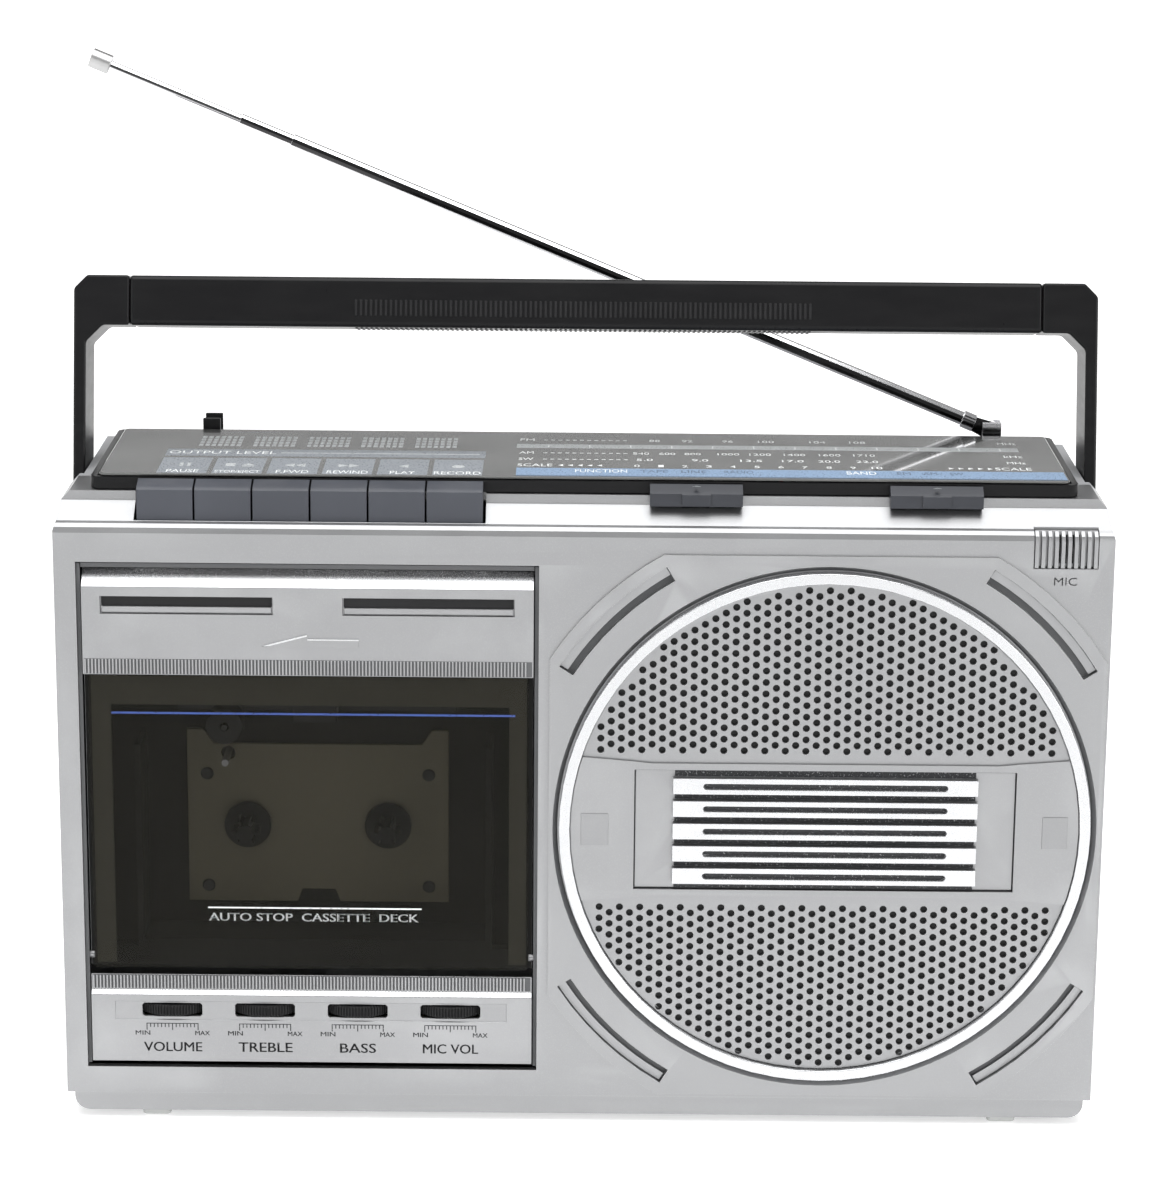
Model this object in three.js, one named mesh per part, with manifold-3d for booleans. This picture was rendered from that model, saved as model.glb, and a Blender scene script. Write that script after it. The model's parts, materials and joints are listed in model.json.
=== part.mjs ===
// Portable radio cassette recorder: cabinet, carrying handle, telescopic aerial, piano keys,
// cassette door and deck, loudspeaker, dial and controls, as separate solids.
// Millimetres. +X right, +Y to the back, +Z up. The controls face -Y.
import * as THREE from 'three';
import { mergeVertices } from 'three/addons/utils/BufferGeometryUtils.js';
import Module from 'manifold-3d';

const wasm = await Module();
wasm.setup();

// ---------------------------------------------------------------- sizes
// Cabinet
const BODY_W = 310;
const BODY_D = 94;
const BODY_H = 193.4;
const WALL = 2.5;
const PARTING_Y = 30;
const PARTING_GAP = 0.3;
const SKIRT_Z = 2.5;
const SKIRT_INSET = 2;
const STEP_Z = 9;
const BEZEL_DROP = 7.4;
const STRIP_DROP = 2.7;
const SLOPE_FRONT_Y = 3;
const SLOPE_BACK_Y = 9.6;
const BACK_ROUND = 6;
const FIT = 0.3;
const FOOT_R = 4.3;
const FOOT_PLUG_R = 2.2;
const FOOT_X_INSET = 26.4;
const FOOT_Y_INSET = 8.6;

// Cassette door, its pocket and the control panel
const RECESS_SIDE = 6.4;
const RECESS_W = 135.6;
const RECESS_BOTTOM = 17.2;
const RECESS_TOP_DROP = 19.1;
const DOOR_GAP = 1.5;
const DOOR_TOP_GAP = 2.7;
const PANEL_TOP = 46.5;
const PANEL_T = 1.8;
const DOOR_BOTTOM = 48.9;
const DOOR_T = 5;
const WINDOW_T = 2.4;
const DOOR_CROWN = 31.3;
const DOOR_RAIL = 5.5;
const HINGE_Y = 3;
const HINGE_Z = 52.2;
const HINGE_R = 1;
const HINGE_REACH = 3;
const CASSETTE_W = 100.4;
const CASSETTE_LOW = 57.5;
const HOLDER_T = 2;
const HOLDER_TOP = 118;
const HOLDER_BACK = 18.5;
const WELL_FRONT = 6.3;
const WELL_FLOOR_Y = 23.6;
const WELL_T = 1.5;

// Deck
const REEL_Z = 87.9;
const REEL_PITCH = 42.5;
const SPINDLE_R = 2.6;
const SPINDLE_TIP_Y = 10.5;
const REEL_FLANGE_R = 7.1;
const REEL_TABLE_R = 12;
const DECK_Y = 21.6;
const DECK_T = 1.2;
const DECK_HALF_W = 39.5;
const DECK_LOW = 63;
const DECK_HIGH = 113;
const CAPSTAN_DX = 27;
const CAPSTAN_DZ = 22.1;
const CAPSTAN_R = 1.1;
const FLYWHEEL_R = 24;
const FLYWHEEL_Y = 46;
const FLYWHEEL_T = 6;
const MOTOR_DX = 46.8;
const MOTOR_DZ = 24.1;
const MOTOR_R = 17;
const PULLEY_R = 6;
const BELT_W = 2;
const BELT_T = 1;
const HEAD_PLATE_Z = 124;
const HEAD_TRAVEL = 4.5;
const ROLLER_R = 5.5;
const ROLLER_PIN_R = 1;

// Piano keys
const KEY_COUNT = 6;
const KEY_PITCH = 16.95;
const KEY_GAP = 0.6;
const KEY_SIDE = 23.95;
const KEY_FRONT_Y = 3.9;
const KEY_BACK_Y = 10.5;
const KEY_TOP_RISE = 3.9;
const KEY_DROP = 7.8;
const KEY_PIVOT_Y = 34;
const KEY_PIVOT_DROP = 7.4;
const KEY_ROD_R = 1.5;
const KEY_LEVER_W = 8;
const KEY_LEVER_H = 3.6;

// Sliding switches
const FUNCTION_X = 32.8;
const BAND_X = 103.2;
const KNOB_W = 27.2;
const KNOB_FRONT_Y = 6;
const KNOB_DROP = 2.4;
const KNOB_RISE = 3.6;
const STEM_HALF = 4;
const FUNCTION_TRAVEL = 7;
const BAND_TRAVEL = 9;

// Thumbwheels on the control panel
const WHEEL_R = 12.4;
const WHEEL_PROUD = 1.2;
const WHEEL_T = 3.4;
const WHEEL_Z = 35.5;
const WHEEL_SLOT_W = 18;
const WHEEL_SLOT_H = 4.2;
const WHEEL_FIRST = 32.2;
const WHEEL_PITCH = 27.93;
const WHEEL_SHAFT_R = 3;
const BOARD_Z = 26;
const BOARD_T = 1.6;

// Dial
const DIAL_SIDE = 9.8;
const DIAL_FRONT_Y = 11;
const DIAL_BACK_Y = 80;
const DIAL_H = 3.7;
const DIAL_WALL = 2;
const PLATE_T = 0.8;
const PLATE_LIP = 0.3;
const POINTER_W = 1;
const POINTER_X = 58;
const TUNING_R = 18;
const TUNING_T = 6;
const TUNING_Z = 140;
const TUNING_Y = 70;
const TUNING_INSET = 0.3;
const DRUM_R = 12.1;
const SCOOP_R = 30;
const SCOOP_DEPTH = 1.8;

// Loudspeaker
const SPEAKER_SIDE = 82.8;
const SPEAKER_Z = 94.16;
const SURROUND_R = 97.1;
const SURROUND_HALF = 81.9;
const SURROUND_HALF_H = 83.9;
const SURROUND_PROUD = 0.8;
const CORNER_SLOT_R = 91.1;
const CORNER_SLOT_W = 4.8;
const CORNER_SLOT_SPAN = 27;
const CORNER_SLOT_D = 1.5;
const RING_R = 78.94;
const RING_W = 3.2;
const RING_FRONT = 2;
const GRILLE_T = 1.2;
const SEAT_Y = 1.2;
const BAND_HALF_H = 20.6;
const BAND_FLARE = 3.2;
const BAND_PROUD = 0.8;
const BADGE_HALF_W = 56.6;
const BADGE_HALF_H = 18.6;
const BAR_COUNT = 5;
const BAR_PITCH = 6.97;
const BAR_H = 4.9;
const BAR_HALF_W = 45.2;
const BAR_FRONT = 2.6;
const BAR_SLOT_HALF = 36.2;
const BAR_SLOT_H = 1.7;
const BADGE_T = 1;
const DRIVER_INSET = 7.94;
const DRIVER_DEPTH = 41;
const MAGNET_R = 34;
const MAGNET_T = 13;

// Microphone grille at the top right
const MIC_RIGHT = 5;
const MIC_W = 18.4;
const MIC_DROP = 18.4;
const MIC_RIBS = 10;
const MIC_RIB_W = 1.15;
const MIC_DEPTH = 3.4;

// Carrying handle
const HANDLE_PIVOT_Y = 44.5;
const HANDLE_PIVOT_Z = 172;
const HANDLE_LEAN = 12.3;
const ARM_T = 3.7;
const ARM_OUTER_INSET = 1;
const ARM_HALF = 10;
const GRIP_LOW = 63.2;
const GRIP_HIGH = 78.2;
const GRIP_HALF_LEN = 137;
const HANDLE_CHAMFER = 4;
const HANDLE_BOSS_R = 4;
const HANDLE_BOSS_LEN = 5.5;
const ARM_CLEAR = 0.4;
const HANDLE_RECESS_FRONT = 33.5;
const HANDLE_RECESS_LOW = 161;

// Telescopic aerial
const AERIAL_SIDE = 28;
const AERIAL_Y = 85.6;
const AERIAL_RISE = 4.8;
const AERIAL_TILT = 22.2;
const TUBE_1_R = 2.15;
const TUBE_2_R = 1.8;
const TUBE_3_R = 1.45;
const TUBE_GAP = 0.12;
const TUBE_1_LEN = 235;
const TUBE_2_SHOWN = 17;
const TUBE_3_SHOWN = 49;
const TUBE_2_START = 30;
const TUBE_3_START = 68;
const TIP_R = 3;
const TIP_LEN = 6.2;
const TONGUE_R = 3;
const TONGUE_T = 2.4;
const EAR_T = 1.3;
const SWIVEL_R = 5;
const SWIVEL_SHAFT_R = 3.5;
const CLIP_X_SIDE = 36;
const CLIP_W = 5.4;
const CLIP_T = 1.2;

// Battery bay, mains inlet and inner parts
const BAY_HALF_W = 79;
const BAY_LOW = 12;
const BAY_H = 56;
const BAY_D = 30;
const BAY_T = 1.6;
const LID_T = 2.2;
const INLET_X = 120;
const INLET_Z = 64;
const MAIN_BOARD_W = 165;
const MAIN_BOARD_H = 74;
const MAIN_BOARD_Z = 78;
const MAIN_BOARD_Y = 66;
const CAPACITOR_SIDE = 22;
const CAPACITOR_D = 15.7;
const TRANSFORMER_W = 42;
const TRANSFORMER_D = 32;
const TRANSFORMER_H = 38;
const TRANSFORMER_Y = 46;
const TRANSFORMER_Z = 8;

// ---------------------------------------------------------------- placing
const XL = -BODY_W / 2;
const XR = BODY_W / 2;
const BEZEL_TOP = BODY_H - BEZEL_DROP;
const STRIP_LOW = BODY_H - STRIP_DROP;
const RECESS_L = XL + RECESS_SIDE;
const RECESS_R = RECESS_L + RECESS_W;
const RECESS_TOP = BODY_H - RECESS_TOP_DROP;
const DOOR_L = RECESS_L + DOOR_GAP;
const DOOR_R = RECESS_R - DOOR_GAP;
const DOOR_TOP = RECESS_TOP - DOOR_TOP_GAP;
const DOOR_MID = (DOOR_L + DOOR_R) / 2;
const CROWN_LOW = DOOR_TOP - DOOR_CROWN;
const REEL_X = DOOR_MID + 1;
const SPEAKER_X = XR - SPEAKER_SIDE;
const DRIVER_R = RING_R - DRIVER_INSET;
const KEY_L = XL + KEY_SIDE;
const KEY_R = KEY_L + KEY_COUNT * KEY_PITCH;
const KEY_PIVOT_Z = BODY_H - KEY_PIVOT_DROP;
const DIAL_L = XL + DIAL_SIDE;
const DIAL_R = XR - DIAL_SIDE;
const DIAL_LOW = BODY_H + FIT;
const DIAL_TOP = DIAL_LOW + DIAL_H;
const CAPSTAN_X = REEL_X - CAPSTAN_DX;
const CAPSTAN_Z = REEL_Z + CAPSTAN_DZ;
const MOTOR_X = REEL_X + MOTOR_DX;
const MOTOR_Z = REEL_Z + MOTOR_DZ;
const FRONT_Y = -BAR_FRONT;
const MID_Y = (FRONT_Y + BODY_D) / 2;
const ARM_OUT = XR - ARM_OUTER_INSET;
const ARM_IN = ARM_OUT - ARM_T;
const ARM_RECESS_X = ARM_IN - ARM_CLEAR;
const AERIAL_X = XR - AERIAL_SIDE;
const AERIAL_Z = BODY_H + AERIAL_RISE;
const TUNING_X = XR - TUNING_INSET - TUNING_R;

// ---------------------------------------------------------------- tools
function solidFrom(geometry) {
  const bare = new THREE.BufferGeometry();
  bare.setAttribute('position', geometry.getAttribute('position').clone());
  if (geometry.index) bare.setIndex(geometry.index.clone());
  const merged = mergeVertices(bare, 1e-4);
  const index = merged.index.array;
  const place = merged.getAttribute('position').array;
  const kept = [];
  let volume = 0;
  const a = new THREE.Vector3();
  const b = new THREE.Vector3();
  const c = new THREE.Vector3();
  for (let i = 0; i < index.length; i += 3) {
    const [p, q, r] = [index[i], index[i + 1], index[i + 2]];
    if (p === q || q === r || r === p) continue;
    kept.push([p, q, r]);
    a.fromArray(place, 3 * p);
    b.fromArray(place, 3 * q);
    c.fromArray(place, 3 * r);
    volume += a.dot(b.cross(c));
  }
  const triangles = kept.flatMap(([p, q, r]) => (volume < 0 ? [p, r, q] : [p, q, r]));
  return new wasm.Manifold(new wasm.Mesh({
    numProp: 3,
    vertProperties: Float32Array.from(place),
    triVerts: Uint32Array.from(triangles),
  }));
}

function geometryOf(solid) {
  const mesh = solid.getMesh();
  const geometry = new THREE.BufferGeometry();
  geometry.setAttribute('position', new THREE.BufferAttribute(mesh.vertProperties.slice(), 3));
  geometry.setIndex(new THREE.BufferAttribute(mesh.triVerts.slice(), 1));
  geometry.computeVertexNormals();
  return geometry;
}

const AXES = {
  x: [new THREE.Vector3(0, 1, 0), new THREE.Vector3(0, 0, 1), new THREE.Vector3(1, 0, 0)],
  y: [new THREE.Vector3(0, 0, 1), new THREE.Vector3(1, 0, 0), new THREE.Vector3(0, 1, 0)],
  z: [new THREE.Vector3(1, 0, 0), new THREE.Vector3(0, 1, 0), new THREE.Vector3(0, 0, 1)],
};

// Outline points are [y, z] along x, [x, z] along y and [x, y] along z.
function prism(axis, points, from, to) {
  const ordered = axis === 'y' ? points.map(([x, z]) => [z, x]) : points;
  const shape = new THREE.Shape(ordered.map(([u, v]) => new THREE.Vector2(u, v)));
  const geometry = new THREE.ExtrudeGeometry(shape, { depth: to - from, bevelEnabled: false });
  geometry.translate(0, 0, from);
  geometry.applyMatrix4(new THREE.Matrix4().makeBasis(...AXES[axis]));
  return solidFrom(geometry);
}

function block([x0, x1], [y0, y1], [z0, z1]) {
  const geometry = new THREE.BoxGeometry(x1 - x0, y1 - y0, z1 - z0);
  geometry.translate((x0 + x1) / 2, (y0 + y1) / 2, (z0 + z1) / 2);
  return solidFrom(geometry);
}

function arc(u, v, r, from, to, steps) {
  return Array.from({ length: steps + 1 }, (_, i) => {
    const angle = THREE.MathUtils.degToRad(from + ((to - from) * i) / steps);
    return [u + r * Math.cos(angle), v + r * Math.sin(angle)];
  });
}

function circle(u, v, r, sides) {
  return arc(u, v, r, 0, 360, sides).slice(0, -1);
}

function rod(axis, [u, v], r, from, to, sides = 20) {
  return prism(axis, circle(u, v, r, sides), from, to);
}

function rounded(u0, u1, v0, v1, r, steps = 3) {
  return [
    ...arc(u1 - r, v0 + r, r, -90, 0, steps),
    ...arc(u1 - r, v1 - r, r, 0, 90, steps),
    ...arc(u0 + r, v1 - r, r, 90, 180, steps),
    ...arc(u0 + r, v0 + r, r, 180, 270, steps),
  ];
}

// A profile of [radius, y] points turned about the line through (x, z) along Y.
function turned(profile, [x, z], sides) {
  const points = profile.map(([r, h]) => new THREE.Vector2(r, h));
  if (profile[0][0] > 0) points.push(points[0].clone());
  const geometry = new THREE.LatheGeometry(points, sides);
  geometry.translate(x, 0, z);
  return solidFrom(geometry);
}

function join(first, ...others) {
  return others.reduce((sum, solid) => sum.add(solid), first);
}

function cut(first, ...others) {
  return others.reduce((rest, solid) => rest.subtract(solid), first);
}

const device = new THREE.Group();
device.position.y = -MID_Y;

function add(name, solid, look, parent = device) {
  const material = new THREE.MeshStandardMaterial(look);
  const mesh = new THREE.Mesh(geometryOf(solid), material);
  mesh.name = name;
  parent.add(mesh);
  return mesh;
}

const SILVER = { color: 0xb4b5b7, roughness: 0.45, metalness: 0.35 };
const CHARCOAL = { color: 0x3a3b41, roughness: 0.5, metalness: 0.0 };
const BLACK = { color: 0x0d0d0f, roughness: 0.2, metalness: 0.0 };
const SMOKE = { color: 0x2b2a1f, roughness: 0.1, metalness: 0.0, transparent: true, opacity: 0.5 };
const STEEL = { color: 0x8d8c82, roughness: 0.4, metalness: 0.9 };
const CHROME = { color: 0xe2e2e2, roughness: 0.12, metalness: 1.0 };
const BOARD = { color: 0x7a5a2e, roughness: 0.6, metalness: 0.0 };
const RUBBER = { color: 0x1b1b1b, roughness: 0.8, metalness: 0.0 };
const PALE = { color: 0xc9c8c2, roughness: 0.6, metalness: 0.0 };
const BRASS = { color: 0xb08d4a, roughness: 0.35, metalness: 0.9 };

// ---------------------------------------------------------------- cabinet
const sideOutline = (() => {
  const right = [
    [XR - SKIRT_INSET, SKIRT_Z],
    [XR - SKIRT_INSET, STEP_Z],
    [XR, STEP_Z],
    [XR, BEZEL_TOP - 2.5],
    [XR - 0.8, BEZEL_TOP],
    [XR - 1.4, STRIP_LOW],
    [XR - 3.9, BODY_H],
  ];
  return [...right, ...right.map(([x, z]) => [-x, z]).reverse()];
})();

function cabinetEnvelope(front, back) {
  return prism('y', sideOutline, front, back);
}

function wellBoss(side) {
  const inner = side < 0 ? RECESS_L : RECESS_R;
  const outer = inner + side * 3.5;
  const span = side < 0 ? [outer, inner] : [inner, outer];
  const low = HINGE_Z - 4;
  const high = HINGE_Z + 4;
  return block(span, [WALL - 0.5, WELL_FRONT - FIT], [low, high]);
}

function arcSlot(middle) {
  const outer = CORNER_SLOT_R + CORNER_SLOT_W / 2;
  const inner = CORNER_SLOT_R - CORNER_SLOT_W / 2;
  const from = middle - CORNER_SLOT_SPAN / 2;
  const to = middle + CORNER_SLOT_SPAN / 2;
  return [
    ...arc(SPEAKER_X, SPEAKER_Z, outer, from, to, 6),
    ...arc(SPEAKER_X, SPEAKER_Z, inner, to, from, 6),
  ];
}

function frontCabinet() {
  const outline = [
    [0, STEP_Z],
    [SKIRT_INSET, STEP_Z],
    [SKIRT_INSET, SKIRT_Z],
    [PARTING_Y, SKIRT_Z],
    [PARTING_Y, BODY_H],
    [SLOPE_BACK_Y + 0.7, BODY_H],
    [SLOPE_BACK_Y + 0.4, STRIP_LOW],
    [SLOPE_BACK_Y, STRIP_LOW],
    [SLOPE_FRONT_Y, BEZEL_TOP],
    [1.6, BEZEL_TOP - 0.4],
    [0.5, BEZEL_TOP - 1.4],
    [0, BEZEL_TOP - 3],
  ];
  const hollow = [
    [WALL, SKIRT_Z + WALL + 6.5],
    [SKIRT_INSET + WALL, SKIRT_Z + WALL],
    [PARTING_Y + 1, SKIRT_Z + WALL],
    [PARTING_Y + 1, BODY_H - WALL],
    [SLOPE_BACK_Y + 3.2, BODY_H - WALL],
    [SLOPE_BACK_Y + 3.2, STRIP_LOW - 2.6],
    [SLOPE_FRONT_Y + 1, BEZEL_TOP - 2.6],
    [WALL, BEZEL_TOP - 4.5],
  ];
  const shell = prism('x', outline, XL, XR).intersect(cabinetEnvelope(-1, PARTING_Y + 1));
  const pad = prism('y', circle(SPEAKER_X, SPEAKER_Z, SURROUND_R, 96), -SURROUND_PROUD, 0.5).intersect(
    block(
      [SPEAKER_X - SURROUND_HALF, SPEAKER_X + SURROUND_HALF],
      [-SURROUND_PROUD - 1, 1],
      [SPEAKER_Z - SURROUND_HALF_H, SPEAKER_Z + SURROUND_HALF_H],
    ),
  );
  const inside = [XL + WALL, XR - WALL];
  const doorway = block([RECESS_L, RECESS_R], [-1, WALL + 0.1], [RECESS_BOTTOM, RECESS_TOP]);
  const keySlot = block(
    [KEY_L - KEY_GAP, KEY_R + KEY_GAP],
    [KEY_FRONT_Y - 0.7, KEY_BACK_Y + 2.6],
    [BEZEL_TOP - 5, BODY_H + 1],
  );
  const stemSlot = (x, travel) => block(
    [x - STEM_HALF - travel - FIT, x + STEM_HALF + travel + FIT],
    [SLOPE_BACK_Y - 0.8, SLOPE_BACK_Y + 8],
    [STRIP_LOW - 6, BODY_H + 1],
  );
  const mic = block(
    [XR - MIC_RIGHT - MIC_W - FIT, XR - MIC_RIGHT + FIT],
    [-1, MIC_DEPTH + FIT],
    [BODY_H - MIC_DROP - FIT, BEZEL_TOP + 3],
  );
  const speaker = join(
    rod('y', [SPEAKER_X, SPEAKER_Z], DRIVER_R - 3, -2, WALL + 1, 72),
    rod('y', [SPEAKER_X, SPEAKER_Z], RING_R + FIT, -2, SEAT_Y, 72),
  );
  const slots = [45.7, 134.3, 225.7, 314.3].map((middle) => prism('y', arcSlot(middle), -2, CORNER_SLOT_D));
  const bosses = join(wellBoss(-1), wellBoss(1));
  const hingeHoles = rod('x', [HINGE_Y, HINGE_Z], HINGE_R + 0.35, DOOR_L - HINGE_REACH - 0.6,
    DOOR_R + HINGE_REACH + 0.6, 12);
  const micBack = block(
    [XR - MIC_RIGHT - MIC_W - 3, XR - MIC_RIGHT + 2.6],
    [MIC_DEPTH + FIT, MIC_DEPTH + 2],
    [BODY_H - MIC_DROP - 3, BEZEL_TOP - 0.8],
  );
  let body = cut(join(shell, pad), prism('x', hollow, ...inside), doorway);
  body = join(body, bosses, micBack);
  return cut(
    body,
    keySlot,
    stemSlot(FUNCTION_X, FUNCTION_TRAVEL),
    stemSlot(BAND_X, BAND_TRAVEL),
    mic,
    speaker,
    ...slots,
    hingeHoles,
    ...footPlaces().map(([x, y]) => rod('z', [x, y], FOOT_PLUG_R + FIT, 0, SKIRT_Z + WALL + 1, 12)),
  );
}

function footPlaces() {
  const x = XR - FOOT_X_INSET;
  const front = FOOT_Y_INSET;
  const back = BODY_D - FOOT_Y_INSET;
  return [[-x, front], [x, front], [-x, back], [x, back]];
}

const BAY_FRONT = BODY_D - LID_T - BAY_D;

function rearCabinet() {
  const start = PARTING_Y + PARTING_GAP;
  const outline = [
    [start, SKIRT_Z],
    [BODY_D - SKIRT_INSET, SKIRT_Z],
    [BODY_D - SKIRT_INSET, STEP_Z],
    [BODY_D, STEP_Z],
    ...arc(BODY_D - BACK_ROUND, BODY_H - BACK_ROUND, BACK_ROUND, 0, 90, 4),
    [start, BODY_H],
  ];
  const back = BODY_D - WALL;
  const low = SKIRT_Z + WALL;
  const hollowLow = block([XL + WALL, XR - WALL], [start - 1, back], [STEP_Z + WALL, HANDLE_RECESS_LOW - WALL]);
  const hollowFloor = block(
    [XL + WALL + SKIRT_INSET, XR - WALL - SKIRT_INSET],
    [start - 1, back - SKIRT_INSET],
    [low, STEP_Z + WALL + 1],
  );
  const inner = ARM_RECESS_X - WALL;
  const hollowHigh = block([-inner, inner], [start - 1, back - 3], [HANDLE_RECESS_LOW - WALL - 1, BODY_H - WALL]);
  const armRecess = (side) => block(
    side < 0 ? [XL - 1, -ARM_RECESS_X] : [ARM_RECESS_X, XR + 1],
    [HANDLE_RECESS_FRONT, BODY_D + 1],
    [HANDLE_RECESS_LOW, BODY_H + 1],
  );
  const bayTop = BAY_LOW + BAY_H;
  const bayBox = block(
    [-BAY_HALF_W - BAY_T, BAY_HALF_W + BAY_T],
    [BAY_FRONT - BAY_T, BODY_D - 1],
    [BAY_LOW - BAY_T, bayTop + BAY_T],
  );
  const bay = block([-BAY_HALF_W, BAY_HALF_W], [BAY_FRONT, BODY_D + 1], [BAY_LOW, bayTop]);
  const inlet = block(
    [INLET_X - 8 - FIT, INLET_X + 8 + FIT],
    [back - 1, BODY_D + 1],
    [INLET_Z - 6 - FIT, INLET_Z + 6 + FIT],
  );
  const boss = rod('x', [HANDLE_PIVOT_Y, HANDLE_PIVOT_Z], HANDLE_BOSS_R + ARM_CLEAR, XL - 1, XR + 1, 24);
  const swivelHole = rod('z', [AERIAL_X, AERIAL_Y], SWIVEL_SHAFT_R + FIT, BODY_H - WALL - 10, BODY_H + 1, 20);
  const swivelSeat = block(
    [AERIAL_X - 7, AERIAL_X + 7],
    [AERIAL_Y - 6, back + 0.5],
    [BODY_H - WALL - 3, BODY_H - 1],
  );
  const scoop = rod('z', [XR + SCOOP_R - SCOOP_DEPTH, TUNING_Y], SCOOP_R, TUNING_Z - 9, TUNING_Z + 9, 60);
  const wheelSlot = block(
    [XR - WALL - 1, XR + 1],
    [TUNING_Y - 10, TUNING_Y + 10],
    [TUNING_Z - TUNING_T / 2 - 0.6, TUNING_Z + TUNING_T / 2 + 0.6],
  );
  let body = prism('x', outline, XL, XR).intersect(cabinetEnvelope(start - 1, BODY_D + 1));
  body = cut(body, hollowLow, hollowFloor, hollowHigh);
  body = join(body, bayBox, swivelSeat);
  return cut(
    body,
    armRecess(-1),
    armRecess(1),
    bay,
    inlet,
    boss,
    swivelHole,
    scoop,
    wheelSlot,
    ...footPlaces().map(([x, y]) => rod('z', [x, y], FOOT_PLUG_R + FIT, 0, SKIRT_Z + WALL + 1, 12)),
  );
}

add('front_cabinet', frontCabinet(), SILVER);
add('rear_cabinet', rearCabinet(), SILVER);

footPlaces().forEach(([x, y], i) => {
  const pad = prism('z', rounded(x - FOOT_R, x + FOOT_R, y - FOOT_R, y + FOOT_R, 1.2, 2), 0, SKIRT_Z - FIT);
  const plug = rod('z', [x, y], FOOT_PLUG_R, SKIRT_Z - 1, SKIRT_Z + WALL, 12);
  add(`foot_${i + 1}`, join(pad, plug), PALE);
});

add('battery_lid', block(
  [-BAY_HALF_W + 0.4, BAY_HALF_W - 0.4],
  [BODY_D - LID_T, BODY_D],
  [BAY_LOW + 0.4, BAY_LOW + BAY_H - 0.4],
), SILVER);

// ---------------------------------------------------------------- door and control panel
function doorFrame() {
  const crown = block([DOOR_L, DOOR_R], [0, DOOR_T], [CROWN_LOW, DOOR_TOP]);
  const back = [WINDOW_T + FIT, DOOR_T];
  const ring = cut(
    block([DOOR_L, DOOR_R], back, [DOOR_BOTTOM, CROWN_LOW + 1]),
    block([DOOR_L + DOOR_RAIL, DOOR_R - DOOR_RAIL], [0, DOOR_T + 1], [DOOR_BOTTOM + 6, CROWN_LOW - 1.5]),
  );
  const half = CASSETTE_W / 2 + 0.9;
  const side = (from) => block(
    [from, from + HOLDER_T],
    [DOOR_T - 1, HOLDER_BACK],
    [CASSETTE_LOW - 1.5, HOLDER_TOP],
  );
  const left = side(REEL_X - half - HOLDER_T);
  const right = side(REEL_X + half);
  const shelf = block(
    [REEL_X - half - HOLDER_T, REEL_X + half + HOLDER_T],
    [DOOR_T - 1, HOLDER_BACK],
    [CASSETTE_LOW - 1.5, CASSETTE_LOW],
  );
  const foot = block([REEL_X - half - HOLDER_T, REEL_X + half + HOLDER_T], back, [DOOR_BOTTOM + 5, CASSETTE_LOW]);
  const sideFeet = [REEL_X - half - HOLDER_T, REEL_X + half].map((x) => block(
    [x, x + HOLDER_T],
    back,
    [CASSETTE_LOW - 1, HOLDER_TOP],
  ));
  const pins = [
    rod('x', [HINGE_Y, HINGE_Z], HINGE_R, DOOR_L - HINGE_REACH, DOOR_L + 2, 12),
    rod('x', [HINGE_Y, HINGE_Z], HINGE_R, DOOR_R - 2, DOOR_R + HINGE_REACH, 12),
  ];
  const seat = block(
    [DOOR_L + 1, DOOR_R - 1],
    [-1, WINDOW_T + FIT],
    [DOOR_BOTTOM - 1, CROWN_LOW - 0.01],
  );
  return join(cut(join(crown, ring, ...pins), seat), left, right, shelf, foot, ...sideFeet);
}

add('door_frame', doorFrame(), SILVER);
add('door_window', prism('y', rounded(DOOR_L + 1.3, DOOR_R - 1.3, DOOR_BOTTOM, CROWN_LOW - FIT, 1, 2), 0, WINDOW_T),
  SMOKE);

const PANEL_L = RECESS_L + DOOR_GAP;
const PANEL_R = RECESS_R - DOOR_GAP;
const PANEL_LOW = RECESS_BOTTOM + 1.9;
const wheelXs = [0, 1, 2, 3].map((i) => XL + WHEEL_FIRST + i * WHEEL_PITCH);
const WHEEL_Y = WHEEL_R - WHEEL_PROUD;

add('control_panel', cut(
  block([PANEL_L, PANEL_R], [0, PANEL_T], [PANEL_LOW, PANEL_TOP]),
  ...wheelXs.map((x) => prism('y', rounded(
    x - WHEEL_SLOT_W / 2,
    x + WHEEL_SLOT_W / 2,
    WHEEL_Z - WHEEL_SLOT_H / 2,
    WHEEL_Z + WHEEL_SLOT_H / 2,
    0.6,
    1,
  ), -1, PANEL_T + 1)),
), SILVER);

['volume', 'treble', 'bass', 'mic'].forEach((name, i) => {
  const x = wheelXs[i];
  const disc = rod('z', [x, WHEEL_Y], WHEEL_R, WHEEL_Z - WHEEL_T / 2, WHEEL_Z + WHEEL_T / 2, 40);
  const shaft = rod('z', [x, WHEEL_Y], WHEEL_SHAFT_R, BOARD_Z - 1, WHEEL_Z, 16);
  add(`wheel_${name}`, join(disc, shaft), CHARCOAL);
});

add('control_board', cut(
  block([PANEL_L + 4, PANEL_R - 4], [4, 26], [BOARD_Z, BOARD_Z + BOARD_T]),
  ...wheelXs.map((x) => rod('z', [x, WHEEL_Y], WHEEL_SHAFT_R + FIT, BOARD_Z - 1, BOARD_Z + BOARD_T + 1, 16)),
), BOARD);

// ---------------------------------------------------------------- deck
const REEL_L = REEL_X - REEL_PITCH / 2;
const REEL_R = REEL_X + REEL_PITCH / 2;
const WELL_L = RECESS_L - WELL_T;
const WELL_R = RECESS_R + WELL_T;
const WELL_LOW = PANEL_TOP + 1;
const WELL_HIGH = RECESS_TOP + WELL_T;
const WELL_BACK = WELL_FLOOR_Y + WELL_T;

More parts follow.
